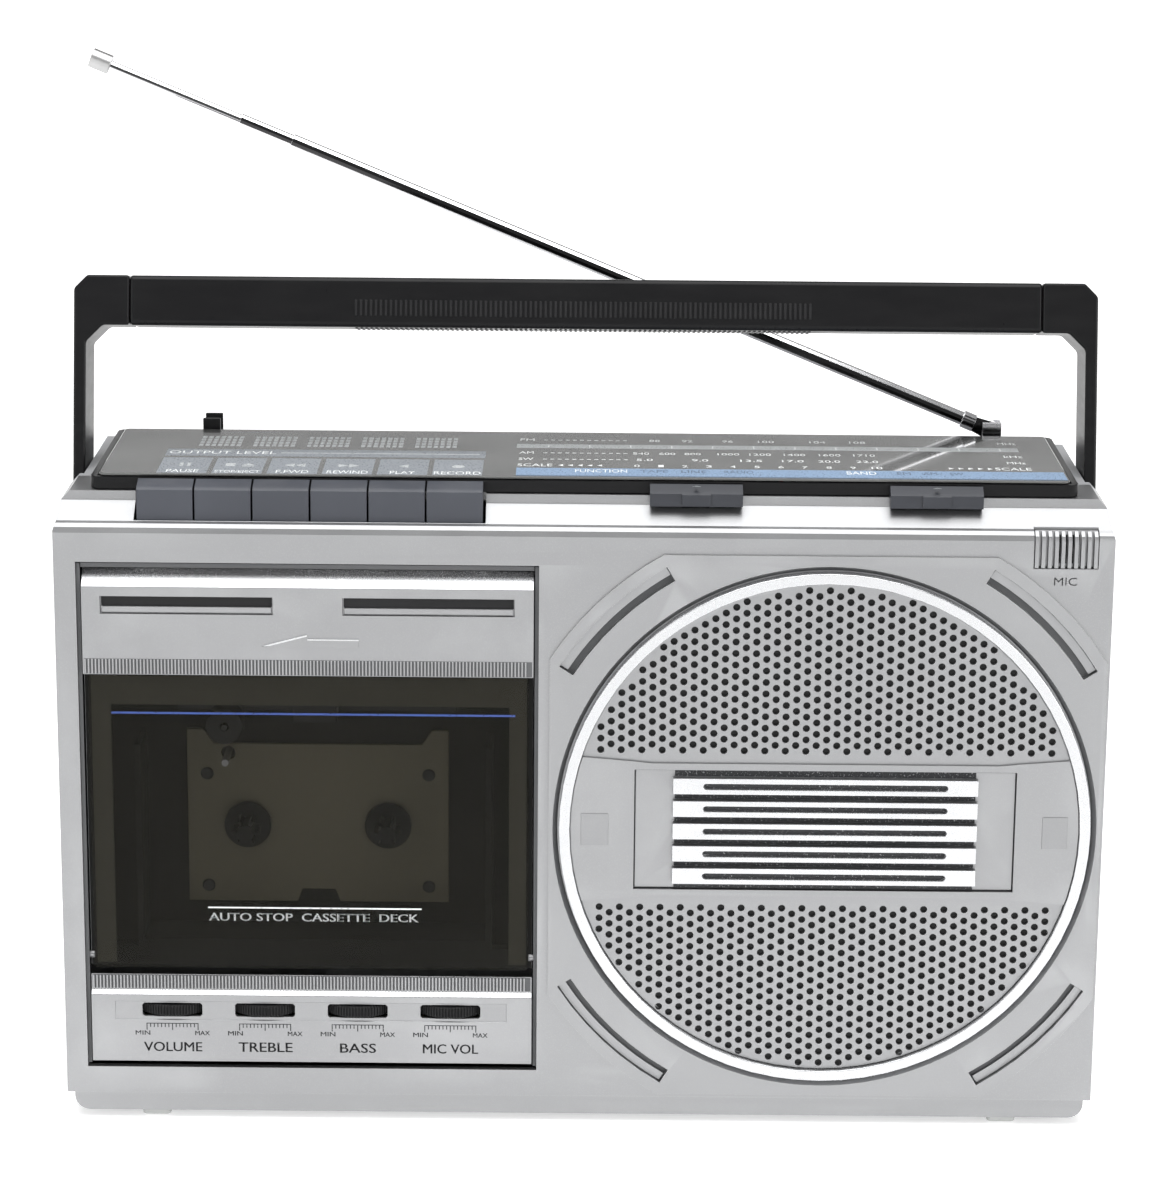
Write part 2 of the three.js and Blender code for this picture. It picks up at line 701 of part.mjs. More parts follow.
add('cassette_well', cut(
  block([WELL_L, WELL_R], [WELL_FRONT, WELL_BACK], [WELL_LOW, WELL_HIGH]),
  block([RECESS_L, RECESS_R], [WELL_FRONT - 1, WELL_FLOOR_Y], [WELL_LOW + WELL_T, WELL_HIGH - WELL_T]),
  rod('y', [REEL_L, REEL_Z], SPINDLE_R + 1.4, WELL_FLOOR_Y - 1, WELL_BACK + 1, 16),
  rod('y', [REEL_R, REEL_Z], SPINDLE_R + 1.4, WELL_FLOOR_Y - 1, WELL_BACK + 1, 16),
  rod('y', [CAPSTAN_X, CAPSTAN_Z], CAPSTAN_R + 1.4, WELL_FLOOR_Y - 1, WELL_BACK + 1, 16),
), CHARCOAL);

const deckOutline = [
  [REEL_X - DECK_HALF_W, DECK_LOW],
  [REEL_X - 6.5, DECK_LOW],
  [REEL_X - 5, DECK_LOW + 4],
  [REEL_X + 5, DECK_LOW + 4],
  [REEL_X + 6.5, DECK_LOW],
  [REEL_X + DECK_HALF_W, DECK_LOW],
  [REEL_X + DECK_HALF_W, DECK_HIGH + 4.5],
  [REEL_X + DECK_HALF_W - 5, DECK_HIGH + 4.5],
  [REEL_X + DECK_HALF_W - 8, DECK_HIGH],
  [REEL_X - DECK_HALF_W + 8, DECK_HIGH],
  [REEL_X - DECK_HALF_W + 5, DECK_HIGH + 4.5],
  [REEL_X - DECK_HALF_W, DECK_HIGH + 4.5],
];

add('deck_plate', cut(
  prism('y', deckOutline, DECK_Y, DECK_Y + DECK_T),
  rod('y', [REEL_L, REEL_Z], SPINDLE_R + 1, DECK_Y - 1, DECK_Y + DECK_T + 1, 16),
  rod('y', [REEL_R, REEL_Z], SPINDLE_R + 1, DECK_Y - 1, DECK_Y + DECK_T + 1, 16),
  rod('y', [CAPSTAN_X, CAPSTAN_Z], CAPSTAN_R + 1, DECK_Y - 1, DECK_Y + DECK_T + 1, 12),
), STEEL);

function spindle(x) {
  const vanes = [0, 60, 120].map((turn) => {
    const vane = block([-SPINDLE_R - 1.5, SPINDLE_R + 1.5], [SPINDLE_TIP_Y + 1, DECK_Y - 3], [-0.5, 0.5]);
    return vane.rotate([0, turn, 0]).translate([x, 0, REEL_Z]);
  });
  return join(
    rod('y', [x, REEL_Z], SPINDLE_R, SPINDLE_TIP_Y, WELL_BACK + 14, 16),
    rod('y', [x, REEL_Z], REEL_FLANGE_R, DECK_Y - 2.4, DECK_Y - 0.6, 28),
    rod('y', [x, REEL_Z], REEL_TABLE_R, WELL_BACK + 1, WELL_BACK + 4, 32),
    ...vanes,
  );
}

add('takeup_spindle', spindle(REEL_L), CHARCOAL);
add('supply_spindle', spindle(REEL_R), CHARCOAL);

add('flywheel', join(
  rod('y', [CAPSTAN_X, CAPSTAN_Z], CAPSTAN_R, SPINDLE_TIP_Y + 0.5, FLYWHEEL_Y + 1, 12),
  rod('y', [CAPSTAN_X, CAPSTAN_Z], FLYWHEEL_R, FLYWHEEL_Y, FLYWHEEL_Y + FLYWHEEL_T, 48),
), STEEL);

const BRACKET_BACK = FLYWHEEL_Y + FLYWHEEL_T + 1.4;
const legHalf = FLYWHEEL_R + 3.4;
add('flywheel_bracket', join(
  block([CAPSTAN_X - legHalf, CAPSTAN_X + legHalf], [BRACKET_BACK, BRACKET_BACK + 1.2],
    [CAPSTAN_Z - 6, CAPSTAN_Z + 6]),
  block([CAPSTAN_X - legHalf, CAPSTAN_X - legHalf + 1.4], [WELL_BACK + FIT, BRACKET_BACK + 1],
    [CAPSTAN_Z - 6, CAPSTAN_Z + 6]),
  block([CAPSTAN_X + legHalf - 1.4, CAPSTAN_X + legHalf], [WELL_BACK + FIT, BRACKET_BACK + 1],
    [CAPSTAN_Z - 6, CAPSTAN_Z + 6]),
), STEEL);

add('motor', join(
  rod('y', [MOTOR_X, MOTOR_Z], MOTOR_R, WELL_BACK + 1.5, FLYWHEEL_Y - 2.5, 36),
  rod('y', [MOTOR_X, MOTOR_Z], 4, FLYWHEEL_Y - 3.5, FLYWHEEL_Y - 1.5, 16),
), STEEL);
add('motor_pulley', rod('y', [MOTOR_X, MOTOR_Z], PULLEY_R, FLYWHEEL_Y, FLYWHEEL_Y + FLYWHEEL_T, 24), BRASS);

// The belt lies on the flywheel and the pulley, along their two outer tangents.
function beltOutline(extra) {
  const big = FLYWHEEL_R + extra;
  const small = PULLEY_R + extra;
  const dx = MOTOR_X - CAPSTAN_X;
  const dz = MOTOR_Z - CAPSTAN_Z;
  const along = THREE.MathUtils.radToDeg(Math.atan2(dz, dx));
  const lean = THREE.MathUtils.radToDeg(Math.acos((big - small) / Math.hypot(dx, dz)));
  return [
    ...arc(MOTOR_X, MOTOR_Z, small, along - lean, along + lean, 16),
    ...arc(CAPSTAN_X, CAPSTAN_Z, big, along + lean, along + 360 - lean, 32),
  ];
}

const beltY = FLYWHEEL_Y + FLYWHEEL_T / 2 - BELT_W / 2;
add('drive_belt', cut(
  prism('y', beltOutline(FIT + 0.1 + BELT_T), beltY, beltY + BELT_W),
  prism('y', beltOutline(FIT + 0.1), beltY - 1, beltY + BELT_W + 1),
), RUBBER);

const BRIDGE_Y = DECK_Y - 1.6;
const ROLLER_X = CAPSTAN_X;
const ROLLER_Z = CAPSTAN_Z + CAPSTAN_R + ROLLER_R + FIT + HEAD_TRAVEL;
add('head_bridge', join(
  block([REEL_X - 42, REEL_X + 42], [BRIDGE_Y, BRIDGE_Y + 1.2], [HEAD_PLATE_Z, HEAD_PLATE_Z + 16]),
  block([ROLLER_X - 5, ROLLER_X + 5], [BRIDGE_Y, BRIDGE_Y + 1.2], [ROLLER_Z - 4, HEAD_PLATE_Z + 1]),
  rod('y', [ROLLER_X, ROLLER_Z], ROLLER_PIN_R, SPINDLE_TIP_Y - 1, BRIDGE_Y + 0.5, 12),
), STEEL);
add('tape_head', block([REEL_X - 6.5, REEL_X + 6.5], [SPINDLE_TIP_Y, BRIDGE_Y - FIT],
  [HEAD_PLATE_Z - 1, HEAD_PLATE_Z + 10]), CHROME);
add('pinch_roller', cut(
  rod('y', [ROLLER_X, ROLLER_Z], ROLLER_R, SPINDLE_TIP_Y, BRIDGE_Y - 1, 28),
  rod('y', [ROLLER_X, ROLLER_Z], ROLLER_PIN_R + FIT, SPINDLE_TIP_Y - 1, BRIDGE_Y, 12),
), RUBBER);

// ---------------------------------------------------------------- piano keys
const keyNames = ['pause', 'stop', 'forward', 'rewind', 'play', 'record'];
const KEY_LOW = BODY_H - KEY_DROP;
const KEY_TOP = BODY_H + KEY_TOP_RISE;
const LEVER_LOW = KEY_PIVOT_Z - KEY_LEVER_H / 2;
keyNames.forEach((name, i) => {
  const left = KEY_L + i * KEY_PITCH + KEY_GAP / 2;
  const right = left + KEY_PITCH - KEY_GAP;
  const middle = (left + right) / 2;
  const cap = prism('x', [
    [KEY_FRONT_Y, KEY_LOW],
    [KEY_BACK_Y, KEY_LOW],
    [KEY_BACK_Y, KEY_TOP - 0.2],
    [KEY_BACK_Y - 0.8, KEY_TOP],
    [KEY_FRONT_Y + 1.1, KEY_TOP - 1.3],
    [KEY_FRONT_Y + 0.1, KEY_TOP - 2.2],
  ], left, right);
  const lever = prism('x', [
    [KEY_FRONT_Y + 3, LEVER_LOW],
    [KEY_PIVOT_Y, LEVER_LOW - 0.5],
    ...arc(KEY_PIVOT_Y, KEY_PIVOT_Z, KEY_LEVER_H / 2 + 1.2, -60, 60, 4),
    [KEY_PIVOT_Y, KEY_PIVOT_Z + KEY_LEVER_H / 2],
    [KEY_FRONT_Y + 3, KEY_PIVOT_Z + KEY_LEVER_H / 2],
  ], middle - KEY_LEVER_W / 2, middle + KEY_LEVER_W / 2);
  const hole = rod('x', [KEY_PIVOT_Y, KEY_PIVOT_Z], KEY_ROD_R + FIT, left, right, 16);
  add(`key_${name}`, cut(join(cap, lever), hole), CHARCOAL);
});
add('key_rod', rod('x', [KEY_PIVOT_Y, KEY_PIVOT_Z], KEY_ROD_R, KEY_L - 3, KEY_R + 3, 12), STEEL);

// ---------------------------------------------------------------- sliding switches
const KNOB_LOW = BODY_H - KNOB_DROP;
const KNOB_TOP = BODY_H + KNOB_RISE;
const STEM_LOW = STRIP_LOW - 7;
function knob(x) {
  const half = KNOB_W / 2;
  const body = prism('x', [
    [KNOB_FRONT_Y, KNOB_LOW],
    [SLOPE_BACK_Y - 0.1, KNOB_LOW],
    [SLOPE_BACK_Y - 0.1, BODY_H + 0.4],
    [DIAL_FRONT_Y - 0.4, BODY_H + 0.4],
    [DIAL_FRONT_Y - 0.4, KNOB_TOP - 0.2],
    [DIAL_FRONT_Y - 1.2, KNOB_TOP],
    [KNOB_FRONT_Y + 0.5, KNOB_TOP - 1.7],
    [KNOB_FRONT_Y, KNOB_TOP - 2.2],
  ], x - half, x + half);
  const raised = prism('x', [
    [KNOB_FRONT_Y - 0.5, KNOB_LOW + 0.3],
    [KNOB_FRONT_Y + 1, KNOB_LOW + 0.3],
    [KNOB_FRONT_Y + 1, KNOB_TOP - 1.5],
    [KNOB_FRONT_Y - 0.5, KNOB_TOP - 2.4],
  ], x - 4.2, x + 4.2);
  const arm = block([x - STEM_HALF, x + STEM_HALF], [SLOPE_BACK_Y - 1, SLOPE_BACK_Y + 6.4], [KNOB_LOW, KNOB_LOW + 1.7]);
  const leg = block([x - STEM_HALF, x + STEM_HALF], [SLOPE_BACK_Y + 4, SLOPE_BACK_Y + 6.4], [STEM_LOW, KNOB_LOW + 1]);
  return join(body, raised, arm, leg);
}
add('function_knob', knob(FUNCTION_X), CHARCOAL);
add('band_knob', knob(BAND_X), CHARCOAL);

const SWITCH_TOP = STEM_LOW - 0.4;
add('switch_board', join(
  block([FUNCTION_X - 24, BAND_X + 24], [SLOPE_BACK_Y + 3.4, 28], [SWITCH_TOP - 9.4, SWITCH_TOP - 7.8]),
  block([FUNCTION_X - 16, FUNCTION_X + 16], [SLOPE_BACK_Y + 3.4, SLOPE_BACK_Y + 9], [SWITCH_TOP - 8, SWITCH_TOP]),
  block([BAND_X - 18, BAND_X + 18], [SLOPE_BACK_Y + 3.4, SLOPE_BACK_Y + 9], [SWITCH_TOP - 8, SWITCH_TOP]),
), BOARD);

// ---------------------------------------------------------------- dial
add('dial_housing', cut(
  prism('z', rounded(DIAL_L, DIAL_R, DIAL_FRONT_Y, DIAL_BACK_Y, 2.5, 3), DIAL_LOW, DIAL_TOP),
  block([DIAL_L + DIAL_WALL, DIAL_R - DIAL_WALL], [DIAL_FRONT_Y + DIAL_WALL, DIAL_BACK_Y - DIAL_WALL],
    [DIAL_LOW + 1, DIAL_TOP + 1]),
), BLACK);
add('dial_plate', prism('z', rounded(
  DIAL_L + 2.6,
  DIAL_R - 2.6,
  DIAL_FRONT_Y + 0.4,
  DIAL_BACK_Y - 4.4,
  1.5,
  3,
), DIAL_TOP + PLATE_LIP, DIAL_TOP + PLATE_LIP + PLATE_T), BLACK);
add('dial_pointer', block(
  [POINTER_X - POINTER_W / 2, POINTER_X + POINTER_W / 2],
  [DIAL_FRONT_Y + DIAL_WALL + 2, DIAL_BACK_Y - DIAL_WALL - 8],
  [DIAL_LOW + 1.5, DIAL_TOP - 0.3],
), { color: 0xd8502a, roughness: 0.4, metalness: 0 });
add('tuning_knob', join(
  rod('z', [TUNING_X, TUNING_Y], TUNING_R, TUNING_Z - TUNING_T / 2, TUNING_Z + TUNING_T / 2, 48),
  rod('z', [TUNING_X, TUNING_Y], DRUM_R, TUNING_Z + TUNING_T / 2 - 0.5, TUNING_Z + TUNING_T / 2 + 5, 36),
), CHARCOAL);

// ---------------------------------------------------------------- loudspeaker
const speakerAt = [SPEAKER_X, SPEAKER_Z];
const RING_IN = RING_R - RING_W;
add('speaker_ring', cut(
  rod('y', speakerAt, RING_R, -RING_FRONT, SEAT_Y - FIT, 72),
  rod('y', speakerAt, RING_IN, -RING_FRONT - 1, SEAT_Y + 1, 72),
), SILVER);

const GRILLE_R = RING_IN - FIT;
const GRILLE_BACK = SEAT_Y - FIT;
const GRILLE_FRONT = GRILLE_BACK - GRILLE_T;
const bandOutline = [
  [-90, -BAND_HALF_H - BAND_FLARE],
  [-GRILLE_R + 18, -BAND_HALF_H - 0.6],
  [-GRILLE_R + 24, -BAND_HALF_H],
  [GRILLE_R - 24, -BAND_HALF_H],
  [GRILLE_R - 18, -BAND_HALF_H - 0.6],
  [90, -BAND_HALF_H - BAND_FLARE],
  [90, BAND_HALF_H + BAND_FLARE],
  [GRILLE_R - 18, BAND_HALF_H + 0.6],
  [GRILLE_R - 24, BAND_HALF_H],
  [-GRILLE_R + 24, BAND_HALF_H],
  [-GRILLE_R + 18, BAND_HALF_H + 0.6],
  [-90, BAND_HALF_H + BAND_FLARE],
].map(([x, z]) => [x + SPEAKER_X, z + SPEAKER_Z]);
const band = prism('y', bandOutline, GRILLE_FRONT - BAND_PROUD, GRILLE_FRONT + 0.4).intersect(
  rod('y', speakerAt, GRILLE_R, -10, 10, 72),
);
const badgeHole = block(
  [SPEAKER_X - BADGE_HALF_W, SPEAKER_X + BADGE_HALF_W],
  [-10, 10],
  [SPEAKER_Z - BADGE_HALF_H, SPEAKER_Z + BADGE_HALF_H],
);
add('speaker_grille', cut(
  join(rod('y', speakerAt, GRILLE_R, GRILLE_FRONT, GRILLE_BACK, 72), band),
  badgeHole,
), SILVER);

function badge() {
  const half = BADGE_HALF_W - FIT;
  const halfH = BADGE_HALF_H - FIT;
  const base = block([SPEAKER_X - half, SPEAKER_X + half], [GRILLE_BACK - BADGE_T, GRILLE_BACK],
    [SPEAKER_Z - halfH, SPEAKER_Z + halfH]);
  const bars = Array.from({ length: BAR_COUNT }, (_, i) => {
    const z = SPEAKER_Z + ((BAR_COUNT - 1) / 2 - i) * BAR_PITCH;
    const bar = block([SPEAKER_X - BAR_HALF_W, SPEAKER_X + BAR_HALF_W], [-BAR_FRONT, 0.2], [z - BAR_H / 2, z + BAR_H / 2]);
    const slot = prism('y', rounded(
      SPEAKER_X - BAR_SLOT_HALF,
      SPEAKER_X + BAR_SLOT_HALF,
      z - BAR_SLOT_H / 2,
      z + BAR_SLOT_H / 2,
      0.8,
      2,
    ), -BAR_FRONT - 1, -BAR_FRONT + 1.2);
    return cut(bar, slot);
  });
  return join(base, ...bars);
}
add('speaker_badge', badge(), CHARCOAL);

const FLANGE_Y = WALL + FIT;
const driverBack = FLANGE_Y + DRIVER_DEPTH;
add('speaker_basket', turned([
  [DRIVER_R - 5, FLANGE_Y],
  [DRIVER_R, FLANGE_Y],
  [DRIVER_R, FLANGE_Y + 1.2],
  [DRIVER_R - 4, FLANGE_Y + 1.2],
  [MAGNET_R + 6, driverBack],
  [MAGNET_R + 6, driverBack + 1.4],
  [12, driverBack + 1.4],
  [12, driverBack],
  [MAGNET_R + 4.5, driverBack],
  [MAGNET_R + 4.5, driverBack - 1],
  [DRIVER_R - 5.4, FLANGE_Y + 1.4],
], speakerAt, 40), STEEL);
add('speaker_magnet', rod('y', speakerAt, MAGNET_R, driverBack + 1.7, driverBack + 1.7 + MAGNET_T, 36), RUBBER);
add('speaker_cone', turned([
  [0, FLANGE_Y + 22],
  [10, FLANGE_Y + 24],
  [15, FLANGE_Y + 28],
  [DRIVER_R - 10.5, FLANGE_Y + 3],
  [DRIVER_R - 8.5, FLANGE_Y + 3],
  [DRIVER_R - 8.5, FLANGE_Y + 4],
  [DRIVER_R - 10.1, FLANGE_Y + 4],
  [15.2, FLANGE_Y + 29.4],
  [9.8, FLANGE_Y + 25.2],
  [0, FLANGE_Y + 23.2],
], speakerAt, 40), RUBBER);

// ---------------------------------------------------------------- microphone
const MIC_L = XR - MIC_RIGHT - MIC_W;
const MIC_R = XR - MIC_RIGHT;
const micLow = BODY_H - MIC_DROP;
const micBase = block([MIC_L, MIC_R], [MIC_DEPTH - 1.4, MIC_DEPTH], [micLow, BEZEL_TOP - 0.2]);
const micPitch = (MIC_W - MIC_RIB_W) / (MIC_RIBS - 1);
const micRibs = Array.from({ length: MIC_RIBS }, (_, i) => prism('x', [
  [-0.3, micLow],
  [MIC_DEPTH - 1, micLow],
  [MIC_DEPTH - 1, BEZEL_TOP - 0.2],
  [1.6, BEZEL_TOP - 0.5],
  [0.3, BEZEL_TOP - 1.6],
  [-0.3, BEZEL_TOP - 3.4],
], MIC_L + i * micPitch, MIC_L + i * micPitch + MIC_RIB_W));
add('mic_grille', join(micBase, ...micRibs), SILVER);

// ---------------------------------------------------------------- inner parts
const boardL = XL + 20;
const boardTop = MAIN_BOARD_Z + MAIN_BOARD_H;
const capacitorL = XL + 150;
const transformerR = XR - 20;
add('main_board', block([boardL, boardL + MAIN_BOARD_W], [MAIN_BOARD_Y, MAIN_BOARD_Y + BOARD_T], [MAIN_BOARD_Z, boardTop]), BOARD);
add('tuning_capacitor', block(
  [capacitorL, capacitorL + CAPACITOR_SIDE],
  [MAIN_BOARD_Y - FIT - CAPACITOR_D, MAIN_BOARD_Y - FIT],
  [boardTop - 4 - CAPACITOR_SIDE, boardTop - 4],
), PALE);
add('transformer', block(
  [transformerR - TRANSFORMER_W, transformerR],
  [TRANSFORMER_Y, TRANSFORMER_Y + TRANSFORMER_D],
  [TRANSFORMER_Z, TRANSFORMER_Z + TRANSFORMER_H],
), STEEL);
const socketBack = BODY_D - 14;
add('mains_inlet', join(
  cut(
    block([INLET_X - 8, INLET_X + 8], [socketBack, BODY_D - 0.4], [INLET_Z - 6, INLET_Z + 6]),
    prism('y', rounded(INLET_X - 6, INLET_X + 6, INLET_Z - 4, INLET_Z + 4, 3.4, 3), socketBack + 3, BODY_D + 1),
  ),
  rod('y', [INLET_X - 3, INLET_Z], 1, socketBack + 2, BODY_D - 3, 10),
  rod('y', [INLET_X + 3, INLET_Z], 1, socketBack + 2, BODY_D - 3, 10),
), RUBBER);

// ---------------------------------------------------------------- carrying handle
const handle = new THREE.Group();
handle.position.set(0, HANDLE_PIVOT_Y, HANDLE_PIVOT_Z);
handle.rotation.x = THREE.MathUtils.degToRad(-HANDLE_LEAN);
device.add(handle);
const gripEnd = GRIP_HALF_LEN + FIT;

function handleArm(side) {
  const plan = [
    [ARM_IN, -ARM_HALF],
    [ARM_OUT, -ARM_HALF],
    [ARM_OUT, GRIP_HIGH - HANDLE_CHAMFER],
    [ARM_OUT - HANDLE_CHAMFER, GRIP_HIGH],
    [gripEnd, GRIP_HIGH],
    [gripEnd, GRIP_LOW],
    [ARM_IN - 5, GRIP_LOW],
    [ARM_IN, GRIP_LOW - 5],
  ].map(([x, z]) => [side * x, z]);
  const outline = side < 0 ? plan.reverse() : plan;
  const slab = prism('y', outline, -ARM_HALF, ARM_HALF);
  const roundedEnd = prism('x', [
    ...arc(0, 0, ARM_HALF, 180, 360, 10),
    [ARM_HALF, GRIP_HIGH + 1],
    [-ARM_HALF, GRIP_HIGH + 1],
  ], -BODY_W, BODY_W);
  const boss = rod('x', [0, 0], HANDLE_BOSS_R, ARM_IN - HANDLE_BOSS_LEN, ARM_IN + 1, 24);
  const placed = side < 0 ? boss.mirror([1, 0, 0]) : boss;
  return join(slab.intersect(roundedEnd), placed);
}
add('handle_arm_left', handleArm(-1), BLACK, handle);
add('handle_arm_right', handleArm(1), BLACK, handle);
add('handle_grip', prism('x', [
  [-ARM_HALF + 1, GRIP_LOW],
  [ARM_HALF - 1, GRIP_LOW],
  [ARM_HALF, GRIP_LOW + 1],
  [ARM_HALF, GRIP_HIGH - 1],
  [ARM_HALF - 1, GRIP_HIGH],
  [-ARM_HALF + 1, GRIP_HIGH],
  [-ARM_HALF, GRIP_HIGH - 1],
  [-ARM_HALF, GRIP_LOW + 1],
], -GRIP_HALF_LEN, GRIP_HALF_LEN), BLACK, handle);

// ---------------------------------------------------------------- aerial
const earInner = TONGUE_T / 2 + FIT;
const earSpan = earInner + EAR_T;
const swivelTop = AERIAL_Z - TONGUE_R - 0.4;
const ear = (side) => block(
  [AERIAL_X - 3, AERIAL_X + 3],
  side < 0 ? [AERIAL_Y - earSpan, AERIAL_Y - earInner] : [AERIAL_Y + earInner, AERIAL_Y + earSpan],
  [swivelTop - 0.5, AERIAL_Z + 3],
);
add('aerial_swivel', join(
  rod('z', [AERIAL_X, AERIAL_Y], SWIVEL_SHAFT_R, BODY_H - WALL - 9, BODY_H + 1, 20),
  rod('z', [AERIAL_X, AERIAL_Y], SWIVEL_R, BODY_H + FIT, swivelTop, 24),
  ear(-1),
  ear(1),
  rod('y', [AERIAL_X, AERIAL_Z], 0.9, AERIAL_Y - earSpan, AERIAL_Y + earSpan, 10),
), CHROME);

const aerial = new THREE.Group();
aerial.position.set(AERIAL_X, AERIAL_Y, AERIAL_Z);
aerial.rotation.y = THREE.MathUtils.degToRad(AERIAL_TILT);
device.add(aerial);
const tube2End = TUBE_1_LEN + TUBE_2_SHOWN;
const tipEnd = tube2End + TUBE_3_SHOWN;
const sides = 12;
const along = (r, from, to, n = sides) => rod('x', [0, 0], r, -to, -from, n);
add('aerial_tube_1', cut(
  join(
    prism('y', [...arc(0, 0, TONGUE_R, -90, 90, 6), [-8, TONGUE_R * 0.7], [-8, -TONGUE_R * 0.7]],
      -TONGUE_T / 2, TONGUE_T / 2),
    along(TUBE_1_R, 6, TUBE_1_LEN),
    along(TUBE_1_R + 0.6, 6, 10, 16),
  ),
  rod('y', [0, 0], 1.25, -5, 5, 12),
  along(TUBE_2_R + TUBE_GAP, 13, TUBE_1_LEN + 1),
), CHROME, aerial);
add('aerial_tube_2', cut(
  along(TUBE_2_R, TUBE_2_START, tube2End),
  along(TUBE_3_R + TUBE_GAP, TUBE_2_START - 1, tube2End + 1),
), CHROME, aerial);
add('aerial_tube_3', join(
  along(TUBE_3_R, TUBE_3_START, tipEnd - 1),
  along(TIP_R, tipEnd - TIP_LEN, tipEnd, 20),
), CHROME, aerial);

const clipX = XL + CLIP_X_SIDE;
const clipHalf = TIP_R + 0.35;
add('aerial_clip', prism('x', [
  [DIAL_BACK_Y + 0.6, DIAL_LOW],
  [AERIAL_Y + clipHalf + CLIP_T, DIAL_LOW],
  [AERIAL_Y + clipHalf + CLIP_T, AERIAL_Z + 2.6],
  [AERIAL_Y + clipHalf, AERIAL_Z + 2.6],
  [AERIAL_Y + clipHalf, AERIAL_Z - clipHalf],
  [AERIAL_Y - clipHalf, AERIAL_Z - clipHalf],
  [AERIAL_Y - clipHalf, AERIAL_Z + 2.6],
  [DIAL_BACK_Y + 0.6, AERIAL_Z + 2.6],
], clipX, clipX + CLIP_W), BLACK);

export default device;
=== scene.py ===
import json
import math

import bmesh
import bpy
from bpy.props import FloatProperty, FloatVectorProperty, IntProperty, PointerProperty
from mathutils import Matrix, Vector

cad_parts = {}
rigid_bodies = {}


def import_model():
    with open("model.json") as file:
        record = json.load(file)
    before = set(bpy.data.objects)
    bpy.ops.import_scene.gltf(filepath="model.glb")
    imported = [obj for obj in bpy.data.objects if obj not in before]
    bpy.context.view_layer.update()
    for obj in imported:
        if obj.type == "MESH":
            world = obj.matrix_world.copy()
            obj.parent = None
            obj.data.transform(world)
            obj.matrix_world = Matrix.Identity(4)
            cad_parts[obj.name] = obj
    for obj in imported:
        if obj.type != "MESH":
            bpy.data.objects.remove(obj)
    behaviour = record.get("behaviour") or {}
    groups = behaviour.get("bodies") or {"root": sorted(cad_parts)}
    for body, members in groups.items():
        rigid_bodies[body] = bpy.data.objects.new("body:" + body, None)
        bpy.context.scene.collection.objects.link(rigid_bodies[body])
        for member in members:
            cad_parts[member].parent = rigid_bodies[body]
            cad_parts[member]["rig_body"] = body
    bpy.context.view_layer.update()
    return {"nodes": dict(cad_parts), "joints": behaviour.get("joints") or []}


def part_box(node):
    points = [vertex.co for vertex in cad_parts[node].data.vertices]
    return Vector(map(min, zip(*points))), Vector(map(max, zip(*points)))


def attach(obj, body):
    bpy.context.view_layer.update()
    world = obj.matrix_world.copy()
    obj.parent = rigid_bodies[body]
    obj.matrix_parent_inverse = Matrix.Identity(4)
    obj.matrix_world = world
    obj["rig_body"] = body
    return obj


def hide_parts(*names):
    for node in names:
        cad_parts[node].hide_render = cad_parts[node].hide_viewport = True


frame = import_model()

bl_info = {
    "name": "Portable Cassette Recorder",
    "version": (1, 0, 0),
    "blender": (4, 5, 0),
    "location": "View3D > Sidebar > Recorder",
    "description": "Builds the finished look of a portable radio cassette recorder",
    "category": "Object",
}

MM = 0.001
FRONT_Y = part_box("control_panel")[0].y  # the plane of the cabinet's front
BROAD = 150.0  # area in square millimetres above which a face is shaded flat
STROKE = 0.045  # how much wider than drawn a letter's strokes are, as a part of its height
SHORT = 0.5  # a line of signs lower than this, in letter heights, isn't stretched
CREASE = math.radians(30.0)  # edges sharper than this are rounded
WHOLE = math.radians(0.6)  # faces closer in direction than this are one flat face
SKIRT_STEP = 2.0  # how far the skirt stands in from the cabinet's sides, in millimetres
BEND = 4.5  # radius of the skirt's bottom corners
WHEEL_RIM = 3.4  # thickness of a thumbwheel's rim
HANDLE_LEAN = 12.3  # degrees that the handle leans back from upright at rest
BAND_HALF = 23.2  # half the height of the grille's plain band
HOLE_ROWS = 49
PRINT_LIFT = 0.016  # how far letters stand off the dial
OVERPRINT_LIFT = 0.024  # the same, where they lie on another print
LENS, SENSOR = 110.10, 36.0
CAMERA_PLACE = (0.000321, -1.086305, 0.430011)
CAMERA_DIP, CAMERA_ROLL = 14.332, 0.512  # degrees
WORLD_LIGHT = 0.32
BODY_OF = {name: node["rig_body"] for name, node in frame["nodes"].items()}


def at(x, y, z):
    """A point given in millimetres, y counted back from the cabinet's front."""
    return Vector((x * MM, FRONT_Y + y * MM, z * MM))


def span(node):
    """A CAD node's box in millimetres, y counted back from the cabinet's front."""
    low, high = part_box(node)
    out = Vector((0, FRONT_Y, 0))
    return (low - out) / MM, (high - out) / MM


def centre(node):
    """The middle of a CAD node's box, in the same millimetres."""
    low, high = span(node)
    return [(low[i] + high[i]) / 2 for i in range(3)]


# ------------------------------------------------------------------ node trees


